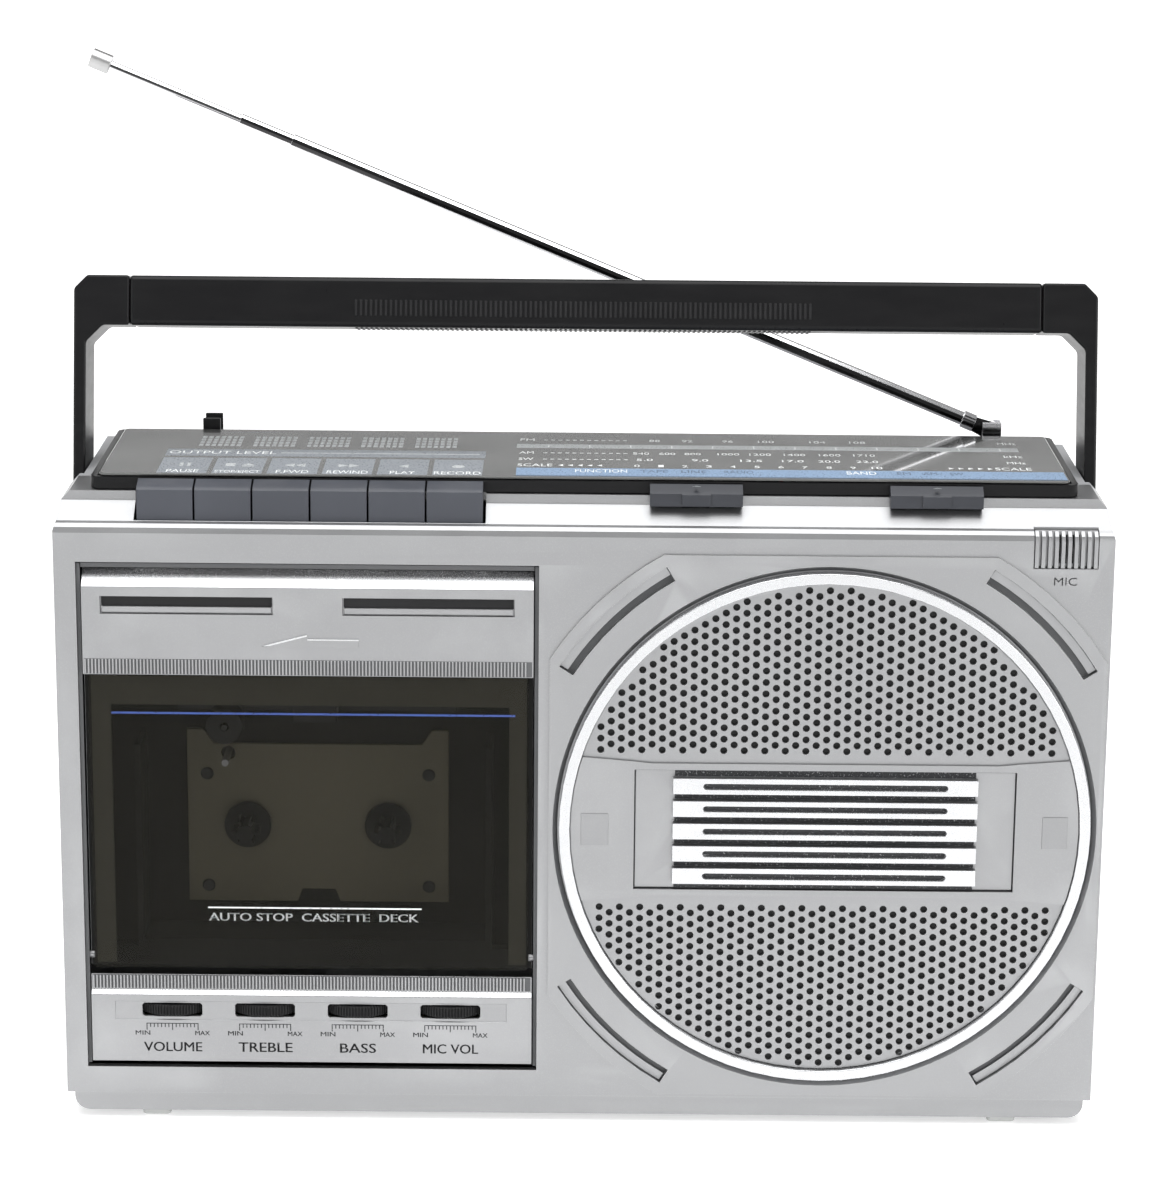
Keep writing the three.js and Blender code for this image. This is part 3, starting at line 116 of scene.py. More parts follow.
class Sock:
    """An output socket whose arithmetic adds Math nodes."""

    def __init__(self, tree, node, out):
        self.tree, self.node, self.link = tree, node, out

    def out(self, name):
        return Sock(self.tree, self.node, self.node.outputs[name])

    def math(self, operation, *values):
        return self.tree.add("ShaderNodeMath", {"operation": operation}, *values)

    def __add__(self, other):
        return self.math("ADD", self, other)

    def __sub__(self, other):
        return self.math("SUBTRACT", self, other)

    def __mul__(self, other):
        return self.math("MULTIPLY", self, other)

    def __truediv__(self, other):
        return self.math("DIVIDE", self, other)

    def __mod__(self, other):
        return self.math("FLOORED_MODULO", self, other)

    def __gt__(self, other):
        return self.math("GREATER_THAN", self, other)

    def __lt__(self, other):
        return self.math("LESS_THAN", self, other)

    def __rsub__(self, other):
        return self.math("SUBTRACT", other, self)

    def __abs__(self):
        return self.math("ABSOLUTE", self)

    def clamp(self):
        return self.tree.add("ShaderNodeClamp", {}, self)

    __radd__, __rmul__ = __add__, __mul__


class Tree:
    """Adds nodes to a node tree in one call each."""

    def __init__(self, target):
        self.target = target

    def feed(self, socket, value):
        if isinstance(value, Sock):
            self.target.links.new(value.link, socket)
        elif hasattr(value, "__len__") and len(value) == 3 and socket.type == "RGBA":
            socket.default_value = (*value, 1)
        else:
            socket.default_value = value

    def add(self, kind, settings=None, *values, **named):
        node = self.target.nodes.new(kind)
        for key, value in (settings or {}).items():
            if key == "stops":
                ramp = node.color_ramp
                for i, (place, shade) in enumerate(value):
                    stop = ramp.elements[i] if i < 2 else ramp.elements.new(place)
                    stop.position, stop.color = place, (shade, shade, shade, 1)
            else:
                setattr(node, key, value)
        shown = [s for s in node.inputs if s.enabled]
        for socket, value in zip(shown, values):
            if value is not None:
                self.feed(socket, value)
        for key, value in named.items():
            name = key.replace("_", " ")
            self.feed(next(s for s in shown if s.name == name), value)
        outs = [s for s in node.outputs if s.enabled]
        return Sock(self, node, outs[0] if outs else None)

    def place(self):
        return self.add("ShaderNodeTexCoord").out("Object")

    def stretch(self, vector, x, y, z):
        return self.add("ShaderNodeMapping", {}, Vector=vector, Scale=(x, y, z))

    def noise(self, vector, scale, detail=2.0):
        return self.add("ShaderNodeTexNoise", {}, Vector=vector, Scale=scale, Detail=detail)

    def ramp(self, value, *stops):
        return self.add("ShaderNodeValToRGB", {"stops": stops}, value)

    def mix(self, factor, a, b):
        return self.add("ShaderNodeMix", {"data_type": "RGBA"}, factor, a, b)

    def bump(self, height, strength, distance):
        return self.add("ShaderNodeBump", {}, Strength=strength, Distance=distance, Height=height)

    def edges(self):
        """1 where the surface is a convex edge, 0 on the flat."""
        point = self.add("ShaderNodeNewGeometry").out("Pointiness")
        return self.ramp(point, (0.52, 0.0), (0.6, 1.0))

    def upward(self):
        normal = self.add("ShaderNodeNewGeometry").out("Normal")
        return self.add("ShaderNodeSeparateXYZ", {}, normal).out("Z").clamp()


# ------------------------------------------------------------------ finishes


def finish(name, build, **fixed):
    """A Principled material: fixed values on its sockets, and links from build."""
    made = bpy.data.materials.new(name)
    made.use_nodes = True
    made.node_tree.nodes.clear()
    tree = Tree(made.node_tree)
    links = build(tree)
    shader = made.node_tree.nodes.new("ShaderNodeBsdfPrincipled")
    for key, value in {**fixed, **links}.items():
        tree.feed(shader.inputs[key.replace("_", " ")], value)
    output = made.node_tree.nodes.new("ShaderNodeOutputMaterial")
    made.node_tree.links.new(shader.outputs[0], output.inputs[0])
    return made


def shade(colour, factor):
    return tuple(min(1.0, c * factor) for c in colour)


def plastic(name, colour, rough, grain=1500.0, depth=0.25, worn=0.35, dust=0.0, **fixed):
    """Moulded plastic: fine grain, cloudy tone, lighter edges and a little dust on top."""

    def build(tree):
        place = tree.place()
        fine = tree.noise(place, grain, 3.0)
        cloud = tree.noise(place, 24.0, 4.0)
        smear = tree.noise(tree.stretch(place, 1, 1, 5), 60.0, 3.0)
        base = tree.mix(cloud, shade(colour, 0.88), shade(colour, 1.1))
        rub = (tree.edges() * tree.ramp(cloud, (0.35, 0.2), (0.7, 1.0)) * worn).clamp()
        base = tree.mix(rub, base, shade(colour, 1.5))
        if dust:
            lint = tree.upward() * tree.ramp(smear, (0.4, 0.0), (0.8, 1.0)) * dust
            base = tree.mix(lint, base, (0.55, 0.54, 0.52))
        return {
            "Base_Color": base,
            "Roughness": (rough - 0.07) + 0.1 * smear + 0.06 * fine - 0.08 * rub,
            "Normal": tree.bump(fine, depth, 0.00006),
        }

    return finish(name, build, **fixed)


def silver_paint(name, colour, rough=0.32):
    """Metallic paint over plastic, with flake, handling marks and rubbed edges."""

    def build(tree):
        place = tree.place()
        flake = tree.noise(place, 2600.0, 1.0)
        sparkle = tree.ramp(tree.noise(place, 5200.0, 0.0), (0.62, 0.0), (0.72, 1.0))
        cloud = tree.noise(place, 14.0, 4.0)
        smear = tree.noise(place, 32.0, 4.0)
        base = tree.mix(cloud, shade(colour, 0.97), shade(colour, 1.03))
        base = tree.mix(sparkle * 0.3, base, shade(colour, 1.35))
        rub = (tree.edges() * tree.ramp(smear, (0.4, 0.0), (0.7, 1.0)) * 0.35).clamp()
        base = tree.mix(rub, base, shade(colour, 1.5))
        return {
            "Base_Color": base,
            "Roughness": rough + 0.05 * smear + 0.08 * flake,
            "Metallic": 0.84 + 0.1 * flake - 0.3 * rub,
            "Normal": tree.bump(flake, 0.12, 0.00004),
        }

    return finish(name, build)


def metal(name, colour, rough, brushed=(1, 1, 1), streak=500.0, worn=0.15, **fixed):
    """Bare or plated metal, with brushing along one axis and finger marks."""

    def build(tree):
        place = tree.place()
        lines = tree.noise(tree.stretch(place, *brushed), streak, 3.0)
        marks = tree.noise(place, 70.0, 4.0)
        base = tree.mix(lines, shade(colour, 0.86), shade(colour, 1.08))
        base = tree.mix(tree.ramp(marks, (0.55, 0.0), (0.8, worn)), base, shade(colour, 0.55))
        return {
            "Base_Color": base,
            "Roughness": rough + 0.12 * marks * lines + 0.05 * lines,
            "Normal": tree.bump(lines, 0.08, 0.00003),
        }

    return finish(name, build, Metallic=1.0, **fixed)


def ink(name, colour, rough=0.5, cover=0.94):
    """Screen print: slightly uneven, with pinholes."""

    def build(tree):
        place = tree.place()
        speck = tree.ramp(tree.noise(place, 1900.0, 2.0), (0.3, 0.0), (0.42, 1.0))
        tone = tree.noise(place, 90.0, 3.0)
        return {
            "Base_Color": tree.mix(tone, shade(colour, 0.9), shade(colour, 1.08)),
            "Alpha": cover * speck + 0.02,
            "Roughness": rough + 0.1 * tone,
        }

    return finish(name, build)


def smoked(name, colour, clear, rough=0.06):
    """Tinted clear plastic with a film of dust."""

    def build(tree):
        place = tree.place()
        film = tree.noise(place, 40.0, 4.0)
        return {
            "Base_Color": tree.mix(film, shade(colour, 0.8), shade(colour, 1.3)),
            "Alpha": (1 - clear) + 0.04 * film,
            "Roughness": rough + 0.06 * film,
        }

    return finish(name, build, Specular_IOR_Level=0.14)


def aerial_chrome(name, colour):
    """Plated tube with a painted reflection: its level sides, facing front and back, are painted dark
    like a mirrored dark room, its top and bottom stay bright.
    """

    def build(tree):
        normal = tree.add("ShaderNodeNewGeometry").out("Normal")
        level = abs(tree.add("ShaderNodeSeparateXYZ", {}, normal).out("Y"))
        # painted reflection: faces turned along y get a near black base colour
        streak = tree.ramp(level, (0.9, 0.0), (0.965, 1.0))
        marks = tree.noise(tree.place(), 90.0, 4.0)
        return {
            "Base_Color": tree.mix(streak, colour, shade(colour, 0.06)),
            "Roughness": 0.08 + 0.1 * marks,
            "Metallic": 1.0 - 0.1 * marks,
        }

    return finish(name, build)


def cone_paper(name, colour):
    def build(tree):
        place = tree.place()
        fibre = tree.noise(tree.stretch(place, 1, 3, 1), 900.0, 4.0)
        cloud = tree.noise(place, 60.0, 3.0)
        return {
            "Base_Color": tree.mix(fibre * cloud, shade(colour, 0.6), shade(colour, 1.7)),
            "Roughness": 0.8 + 0.15 * fibre,
            "Normal": tree.bump(fibre, 0.5, 0.0002),
        }

    return finish(name, build)


def circuit_board(name, colour):
    def build(tree):
        place = tree.place()
        track = tree.add(
            "ShaderNodeTexBrick",
            {"offset": 0.35},
            Vector=place,
            Color1=shade(colour, 0.8),
            Color2=shade(colour, 1.3),
            Mortar=(0.36, 0.3, 0.13),
            Scale=160.0,
            Mortar_Size=0.03,
        )
        weave = tree.noise(place, 1400.0, 2.0)
        return {
            "Base_Color": track,
            "Roughness": 0.35 + 0.2 * weave,
            "Normal": tree.bump(weave, 0.2, 0.00005),
        }

    return finish(name, build)


def make_finishes(colours):
    silver, charcoal, black = colours.silver, colours.charcoal, colours.black
    return {
        "silver": silver_paint("silver_paint", shade(silver, 0.93)),
        # painted shade: a darker copy of the silver paint for faces that lie in shade
        "silver_rib": silver_paint("silver_rib", shade(silver, 0.86)),
        # painted highlight: a lighter, glossier copy of the silver paint for faces that catch the light
        "silver_bright": silver_paint("silver_bright", shade(silver, 1.75), 0.2),
        "charcoal": plastic(
            "charcoal_key", charcoal, 0.42, 1800.0, 0.3, 0.5, 0.06, Specular_IOR_Level=0.3
        ),
        "switch": plastic(
            "switch_knob", shade(charcoal, 0.6), 0.36, 1800.0, 0.3, 0.5, Specular_IOR_Level=0.3
        ),
        "black": plastic(
            "black_gloss", shade(black, 0.6), 0.3, 1200.0, 0.1, 0.5, 0.02, Specular_IOR_Level=0.16
        ),
        "black_matt": plastic(
            "black_matt", shade(black, 0.9), 0.5, 1500.0, 0.35, 0.6, 0.03, Specular_IOR_Level=0.25
        ),
        "rear": plastic("rear_shell", colours.rear, 0.5, 1100.0, 0.6, 0.4, 0.05),
        "dial": plastic(
            "dial_glass", colours.dial, 0.16, 900.0, 0.02, 0.2, 0.03, Coat_Weight=0.8, Coat_Roughness=0.05
        ),
        "dial_line": ink("dial_line", (0.5, 0.52, 0.53)),
        "window": smoked("window_smoke", (0.009, 0.0085, 0.006), 0.62),
        "deck": plastic(
            "deck_olive", (0.2, 0.18, 0.125), 0.5, 1300.0, 0.3, 0.4, Specular_IOR_Level=0.2
        ),
        "window_rim": plastic(
            "window_rim", (0.1, 0.094, 0.07), 0.5, 1300.0, 0.2, 0.2, Specular_IOR_Level=0.2
        ),
        "well": plastic(
            "well_dark", (0.01, 0.01, 0.009), 0.6, 1200.0, 0.3, 0.2, Specular_IOR_Level=0.15
        ),
        # painted shade: a dark grey sheet put in gaps, slot floors and behind ribs where shade falls
        "gap": plastic("gap_grey", (0.1, 0.102, 0.106), 0.5, 1300.0, 0.2, 0.2, Specular_IOR_Level=0.3),
        "blued": metal("blued_steel", (0.05, 0.05, 0.052), 0.4, (12, 1, 1)),
        # painted reflection on the aerial's plated tubes, dark on the sides facing front and back
        "aerial": aerial_chrome("aerial_chrome", (0.82, 0.82, 0.84)),
        "steel": metal("brushed_steel", (0.5, 0.5, 0.5), 0.28, (1, 1, 12)),
        "chrome": metal("chrome_plate", (0.72, 0.72, 0.74), 0.07, (3, 1, 1), 300.0),
        "brass": metal("brass", (0.62, 0.45, 0.16), 0.25, (1, 8, 1)),
        "board": circuit_board("circuit_board", (0.02, 0.13, 0.05)),
        "rubber": plastic("rubber", (0.018, 0.018, 0.018), 0.72, 2200.0, 0.5, 0.2, 0.08),
        "ferrite": plastic("ferrite", (0.07, 0.072, 0.078), 0.45, 2400.0, 0.5, 0.3),
        "paper": cone_paper("cone_paper", (0.022, 0.021, 0.02)),
        "foot": plastic("foot_pale", (0.5, 0.51, 0.5), 0.55, 1500.0, 0.4, 0.2, 0.05),
        "red": plastic("pointer_red", (0.6, 0.03, 0.02), 0.3, 900.0, 0.1, 0.2),
        "cream": plastic("capacitor_cream", (0.5, 0.46, 0.36), 0.4, 1200.0, 0.2, 0.2),
        "white": ink("print_white", (0.86, 0.88, 0.88)),
        "grey_print": ink("print_grey", (0.2, 0.215, 0.22)),
        "blue": ink("print_blue", colours.print_blue),
        "blue_deep": ink("print_blue_deep", shade(colours.print_blue, 0.4)),
        "line_blue": ink("line_blue", (0.035, 0.075, 0.3)),
        "blue_grey": ink("print_blue_grey", colours.print_grey),
        "dark_print": ink("print_dark", (0.02, 0.021, 0.024)),
    }


FINISH = {}  # filled by main

# ------------------------------------------------------------------ forms


def placed(axis, s, p):
    """The point at s along an axis and p on the two others, in their order."""
    return {"x": (s, *p), "y": (p[0], s, p[1]), "z": (*p, s)}[axis]


def circle(middle, radius, steps, start=0.0, sweep=math.tau):
    """Points round a circle, or along an arc with both its ends."""
    count = steps if sweep == math.tau else steps + 1
    turns = [start + sweep * i / steps for i in range(count)]
    return [(middle[0] + radius * math.cos(t), middle[1] + radius * math.sin(t)) for t in turns]


def rounded(x, z, radius, steps):
    """A rectangle's outline with round corners."""
    corners = [(x[1], z[1], 0), (x[0], z[1], 1), (x[0], z[0], 2), (x[1], z[0], 3)]
    points = []
    for cx, cz, quarter in corners:
        px = cx - radius if cx == x[1] else cx + radius
        pz = cz - radius if cz == z[1] else cz + radius
        points += circle((px, pz), radius, steps, quarter * math.pi / 2, math.pi / 2)
    return points


class Form:
    """Collects closed solids, in millimetres, y counted back from the cabinet's front."""

    def __init__(self):
        self.bm = bmesh.new()

    def loft(self, rings):
        """A closed skin through rings of points, capped at both ends."""
        rows = [[self.bm.verts.new(at(*p)) for p in ring] for ring in rings]
        count = len(rows[0])
        faces = []
        for a, b in zip(rows, rows[1:]):
            for i in range(count):
                j = (i + 1) % count
                faces.append(self.bm.faces.new((a[i], a[j], b[j], b[i])))
        faces.append(self.bm.faces.new(rows[0][::-1]))
        faces.append(self.bm.faces.new(rows[-1]))
        bmesh.ops.recalc_face_normals(self.bm, faces=faces)
        return self

    def slab(self, x, y, z):
        """A block between two values on each axis."""
        ring = [(x[0], z[0]), (x[1], z[0]), (x[1], z[1]), (x[0], z[1])]
        return self.loft([[(u, v, w) for u, w in ring] for v in y])

    def prism(self, outline, axis, low, high):
        """An outline on the two other axes, in their order, drawn out along an axis."""
        return self.loft([[placed(axis, s, p) for p in outline] for s in (low, high)])

    def turned(self, profile, axis, middle, steps):
        """A closed solid of revolution: (place along the axis, radius) pairs."""
        return self.loft([[placed(axis, s, p) for p in circle(middle, r, steps)] for s, r in profile])

    def words(self, text, x, base, height, lift, plane="front"):
        """Lettering that fills x[0] to x[1], standing on the front or lying on the top."""
        curve = bpy.data.curves.new("lettering", "FONT")
        curve.body, curve.extrude, curve.resolution_u = text, 0.004, 3
        holder = bpy.data.objects.new("lettering", curve)
        bpy.context.scene.collection.objects.link(holder)
        graph = bpy.context.evaluated_depsgraph_get()
        mesh = bpy.data.meshes.new_from_object(holder.evaluated_get(graph))
        xs = [v.co.x for v in mesh.vertices]
        ys = [v.co.y for v in mesh.vertices]
        wide, tall = max(xs) - min(xs), max(ys) - min(ys)
        tall = max(tall, SHORT)
        sx, sy = (x[1] - x[0]) * MM / wide, height * MM / tall
        shift = Matrix.Translation((-min(xs), -max(min(ys), 0) if tall > SHORT else 0, 0))
        size = Matrix.Diagonal((sx, sy, 0.002, 1))
        if plane == "front":
            turn = Matrix.Rotation(math.pi / 2, 4, "X")
            move = Matrix.Translation(at(x[0], lift, base))
        else:
            turn = Matrix.Identity(4)
            move = Matrix.Translation(at(x[0], base, lift))
        mesh.transform(move @ turn @ size @ shift)
        self.bm.from_mesh(mesh)
        if plane == "front":
            mesh.transform(Matrix.Translation((STROKE * height * MM, 0, 0)))
            self.bm.from_mesh(mesh)
        bpy.data.objects.remove(holder)
        bpy.data.curves.remove(curve)
        bpy.data.meshes.remove(mesh)
        return self

    def mesh(self, name):
        made = bpy.data.meshes.new(name)
        self.bm.to_mesh(made)
        self.bm.free()
        return made


def freeze(obj):
    """Turns the modified object into a plain mesh."""
    graph = bpy.context.evaluated_depsgraph_get()
    mesh = bpy.data.meshes.new_from_object(obj.evaluated_get(graph))
    old = obj.data
    obj.modifiers.clear()
    obj.data = mesh
    bpy.data.meshes.remove(old)


def shown(name, data):
    """A new object in the scene."""
    obj = bpy.data.objects.new(name, data)
    bpy.context.scene.collection.objects.link(obj)
    return obj


def grow(obj, tree, material, **inputs):
    """Runs a Geometry Nodes tree on obj and keeps the result as a plain mesh."""
    modifier = obj.modifiers.new("Grow", "NODES")
    modifier.node_group = tree
    values = {**{k.replace("_", " "): v for k, v in inputs.items()}, "Material": material}
    for item in tree.interface.items_tree:
        if item.in_out == "INPUT" and item.name in values:
            modifier[item.identifier] = values[item.name]
    freeze(obj)


def soften(obj, width, segments=2):
    """Rounds the sharp edges."""
    modifier = obj.modifiers.new("Soften", "BEVEL")
    modifier.width = width * MM
    modifier.segments = segments
    modifier.limit_method = "ANGLE"
    modifier.angle_limit = CREASE
    freeze(obj)


def whole_faces(bm):
    """Merges the triangles of each flat face."""
    bmesh.ops.dissolve_limit(bm, angle_limit=WHOLE, verts=bm.verts, edges=bm.edges, delimit=set())


def carve(obj, cutter):
    """Cuts the closed solids of a Form out of obj."""
    tool = shown("cutter", cutter.mesh("cutter"))
    modifier = obj.modifiers.new("Carve", "BOOLEAN")
    modifier.operation, modifier.solver, modifier.object = "DIFFERENCE", "MANIFOLD", tool
    freeze(obj)
    used = tool.data
    bpy.data.objects.remove(tool)
    bpy.data.meshes.remove(used)
    bm = bmesh.new()
    bm.from_mesh(obj.data)
    whole_faces(bm)
    bm.to_mesh(obj.data)
    bm.free()


def flatten(mesh):
    """Shades large faces as flat as they are."""
    normals = [corner.vector.copy() for corner in mesh.corner_normals]
    for face in mesh.polygons:
        if face.area > BROAD * MM * MM:
            for i in face.loop_indices:
                normals[i] = face.normal.copy()
    mesh.normals_split_custom_set(normals)


def settle(obj, body, smooth=35.0, nodes=()):
    """Shades the piece, gives it its body and hides the CAD nodes it stands for."""
    obj.data.shade_smooth()
    obj.data.set_sharp_from_angle(angle=math.radians(smooth))
    modifier = obj.modifiers.new("Even", "WEIGHTED_NORMAL")
    modifier.keep_sharp, modifier.weight = True, 100
    freeze(obj)
    flatten(obj.data)
    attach(obj, body)
    if nodes:
        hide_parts(*nodes)
    return obj


def piece(name, form, body, material, bevel=0.0, nodes=(), smooth=35.0):
    """A finished object made from a Form."""
    obj = shown(name, form.mesh(name))
    obj.data.materials.append(FINISH[material])
    if bevel:
        soften(obj, bevel)
    return settle(obj, body, smooth, nodes)


def merged(node):
    """A copy of a CAD node's mesh with its doubles merged and its flat faces whole."""
    bm = bmesh.new()
    bm.from_mesh(frame["nodes"][node].data)
    bmesh.ops.remove_doubles(bm, verts=bm.verts, dist=0.000004)
    whole_faces(bm)
    mesh = bpy.data.meshes.new(node)
    bm.to_mesh(mesh)
    bm.free()
    return mesh


def coat(obj, material, chosen):
    """Gives a second finish to the faces whose middles, in millimetres, are chosen."""
    obj.data.materials.append(FINISH[material])
    for face in obj.data.polygons:
        middle = face.center / MM
        middle.y -= FRONT_Y / MM
        if chosen(middle):
            face.material_index = len(obj.data.materials) - 1


def polish(node, material, bevel, cutter=None, smooth=35.0, segments=2, rim=None, late=None):
    """A softened copy stands for a CAD node.

    A cutter is cut out before the edges are softened and a late one after. Slanted faces
    less than rim millimetres behind the front get a painted highlight in the bright silver.
    """
    obj = shown(node + "_made", merged(node))
    obj.data.materials.clear()
    obj.data.materials.append(FINISH[material])
    if cutter:
        carve(obj, cutter)
    if bevel:
        soften(obj, bevel, segments)
    if late:
        carve(obj, late)
    # painted highlight: slanted faces just behind the front get the bright silver finish
    if rim is not None:
        obj.data.materials.append(FINISH["silver_bright"])
        for face in obj.data.polygons:
            depth = face.center.y / MM - FRONT_Y / MM
            if 0.25 < abs(face.normal.y) < 0.97 and depth < rim:
                face.material_index = 1
    return settle(obj, BODY_OF[node], smooth, (node,))


def polish_all(*rows):
    """Polishes several nodes: name, material slot, finish and bevel of each."""
    for node, slot, material, bevel in rows:
        polish(node, material, bevel)


# ------------------------------------------------------------------ patterns


def new_tree(name, **sockets):
    """A Geometry Nodes tree with a mesh input, a material input and the named ones."""
    target = bpy.data.node_groups.new(name, "GeometryNodeTree")
    kinds = {"Geometry": "NodeSocketGeometry", "Material": "NodeSocketMaterial"}
    kinds.update({k.replace("_", " "): "NodeSocket" + v for k, v in sockets.items()})
    for key, kind in kinds.items():
        target.interface.new_socket(name=key, in_out="INPUT", socket_type=kind)
    target.interface.new_socket(name="Geometry", in_out="OUTPUT", socket_type=kinds["Geometry"])
    tree = Tree(target)
    return tree, tree.add("NodeGroupInput")


def close_tree(tree, given, geometry):
    solid = tree.add("GeometryNodeRealizeInstances", {}, geometry)
    coated = tree.add("GeometryNodeSetMaterial", {}, Geometry=solid, Material=given.out("Material"))
    tree.add("NodeGroupOutput", {}, coated)
    return tree.target


def row_tree():
    """Copies the mesh along a line."""
    tree, given = new_tree("row", Count="Int", Step="Vector")
    line = tree.add("GeometryNodeMeshLine", {}, Count=given.out("Count"), Offset=given.out("Step"))
    copies = tree.add(
        "GeometryNodeInstanceOnPoints", {}, Points=line, Instance=given.out("Geometry")
    )
    return close_tree(tree, given, copies)


def perforation_tree(count):
    """Drills staggered round holes through a disc, above and below a plain band."""
    tree, given = new_tree(
        "perforation",
        Pitch="Float",
        Hole_Radius="Float",
        Disc_Radius="Float",
        Band_Half="Float",
        Centre="Vector",
        Depth="Float",
    )
    pitch = given.out("Pitch")
    column = pitch * (math.sqrt(3) / 2)
    grid = tree.add(
        "GeometryNodeMeshGrid",
        {},
        Size_X=column * (count - 1),
        Size_Y=pitch * (count - 1),
        Vertices_X=count,
        Vertices_Y=count,
    )
    place = tree.add("ShaderNodeSeparateXYZ", {}, tree.add("GeometryNodeInputPosition"))
    number = tree.add("ShaderNodeMath", {"operation": "ROUND"}, place.out("X") / column)
    shift = tree.add("ShaderNodeCombineXYZ", {}, Y=(number % 2.0) * pitch * 0.5)
    grid = tree.add("GeometryNodeSetPosition", {}, Geometry=grid, Offset=shift)
    spot = tree.add("GeometryNodeInputPosition")
    radius = tree.add("ShaderNodeVectorMath", {"operation": "LENGTH"}, spot).out("Value")
    height = tree.add("ShaderNodeSeparateXYZ", {}, spot).out("Y")
    outside = (radius > given.out("Disc Radius")) + (abs(height) < given.out("Band Half"))
    points = tree.add(
        "GeometryNodeDeleteGeometry", {"domain": "POINT"}, Geometry=grid, Selection=outside
    )
    drill = tree.add(
        "GeometryNodeMeshCylinder",
        {},
        Vertices=10,
        Radius=given.out("Hole Radius"),
        Depth=given.out("Depth"),
    )
    drills = tree.add("GeometryNodeInstanceOnPoints", {}, Points=points, Instance=drill)
    drills = tree.add("GeometryNodeRealizeInstances", {}, drills)
    drills = tree.add(
        "GeometryNodeTransform",
        {},
        Geometry=drills,
        Translation=given.out("Centre"),
        Rotation=(math.pi / 2, 0.0, 0.0),
    )
    cut = tree.add("GeometryNodeMeshBoolean", {"operation": "DIFFERENCE", "solver": "MANIFOLD"})
    sheet = cut.node.inputs["Mesh 1"]
    tree.target.links.new(given.out("Geometry").link, sheet)
    tree.target.links.new(drills.link, cut.node.inputs["Mesh 2"])
    return close_tree(tree, given, cut)


TREES = {}  # filled by main


def row(name, form, count, step, body, material, bevel):
    """A form repeated along a line, as one piece."""
    obj = shown(name, form.mesh(name))
    soften(obj, bevel, segments=1)
    grow(obj, TREES["row"], FINISH[material], Count=count, Step=[s * MM for s in step])
    return settle(obj, body)


def ribs(name, pitch, x, y, z, rise, sink, body):
    """A strip of fine upright ribs on a dark floor of painted shade, standing forward of y."""
    rib = Form().slab((x[0] + 0.5, x[0] + 0.5 + pitch * 0.5), (y - rise, y + 0.1), z)
    count = int((x[1] - x[0] - 1.2) / pitch)
    row(name + "_ribs", rib, count, (pitch, 0, 0), body, "silver", 0.08)
    # painted shade: a dark grey sheet behind the ribs darkens the grooves between them
    floor = Form().slab((x[0] + 0.4, x[1] - 0.4), (y - sink, y + 0.1), (z[0] - 0.1, z[1] + 0.1))
    piece(name + "_rib_floor", floor, body, "gap")


# ------------------------------------------------------------------ settings


def length(label, text, default):
    return FloatProperty(name=label, description=text, default=default, min=0.0, unit="LENGTH")


def tint(label, text, default):
    return FloatVectorProperty(
        name=label, description=text, default=default, subtype="COLOR", min=0.0, max=1.0
    )


class RecorderSizes(bpy.types.PropertyGroup):
    edge: length("Edge softening", "Width of the rounding on moulded edges", 0.00035)
    hole_pitch: length("Hole pitch", "Distance between holes of the grille", 0.0035)
    hole_radius: length("Hole radius", "Radius of the holes of the grille", 0.0011)
    rib_pitch: length("Rib pitch", "Distance between ribs of the door's strips", 0.00102)
    grip_pitch: length("Grip rib pitch", "Distance between ribs of the handle", 0.0015)
    knurls: IntProperty(name="Knurls", description="Teeth on each thumbwheel", default=84, min=12)


class RecorderColours(bpy.types.PropertyGroup):
    silver: tint("Silver", "Paint of the front", (0.36, 0.363, 0.37))
    charcoal: tint("Charcoal", "Keys and knobs", (0.056, 0.06, 0.072))
    black: tint("Black", "Handle and housing", (0.012, 0.012, 0.013))
    rear: tint("Rear shell", "Back half of the cabinet", (0.3, 0.305, 0.315))
    dial: tint("Dial", "Glossy plate on top", (0.07, 0.072, 0.07))
    print_blue: tint("Blue print", "Band along the dial", (0.23, 0.33, 0.48))
    print_grey: tint("Blue grey print", "Blocks above the keys", (0.25, 0.27, 0.295))


# ------------------------------------------------------------------ operators


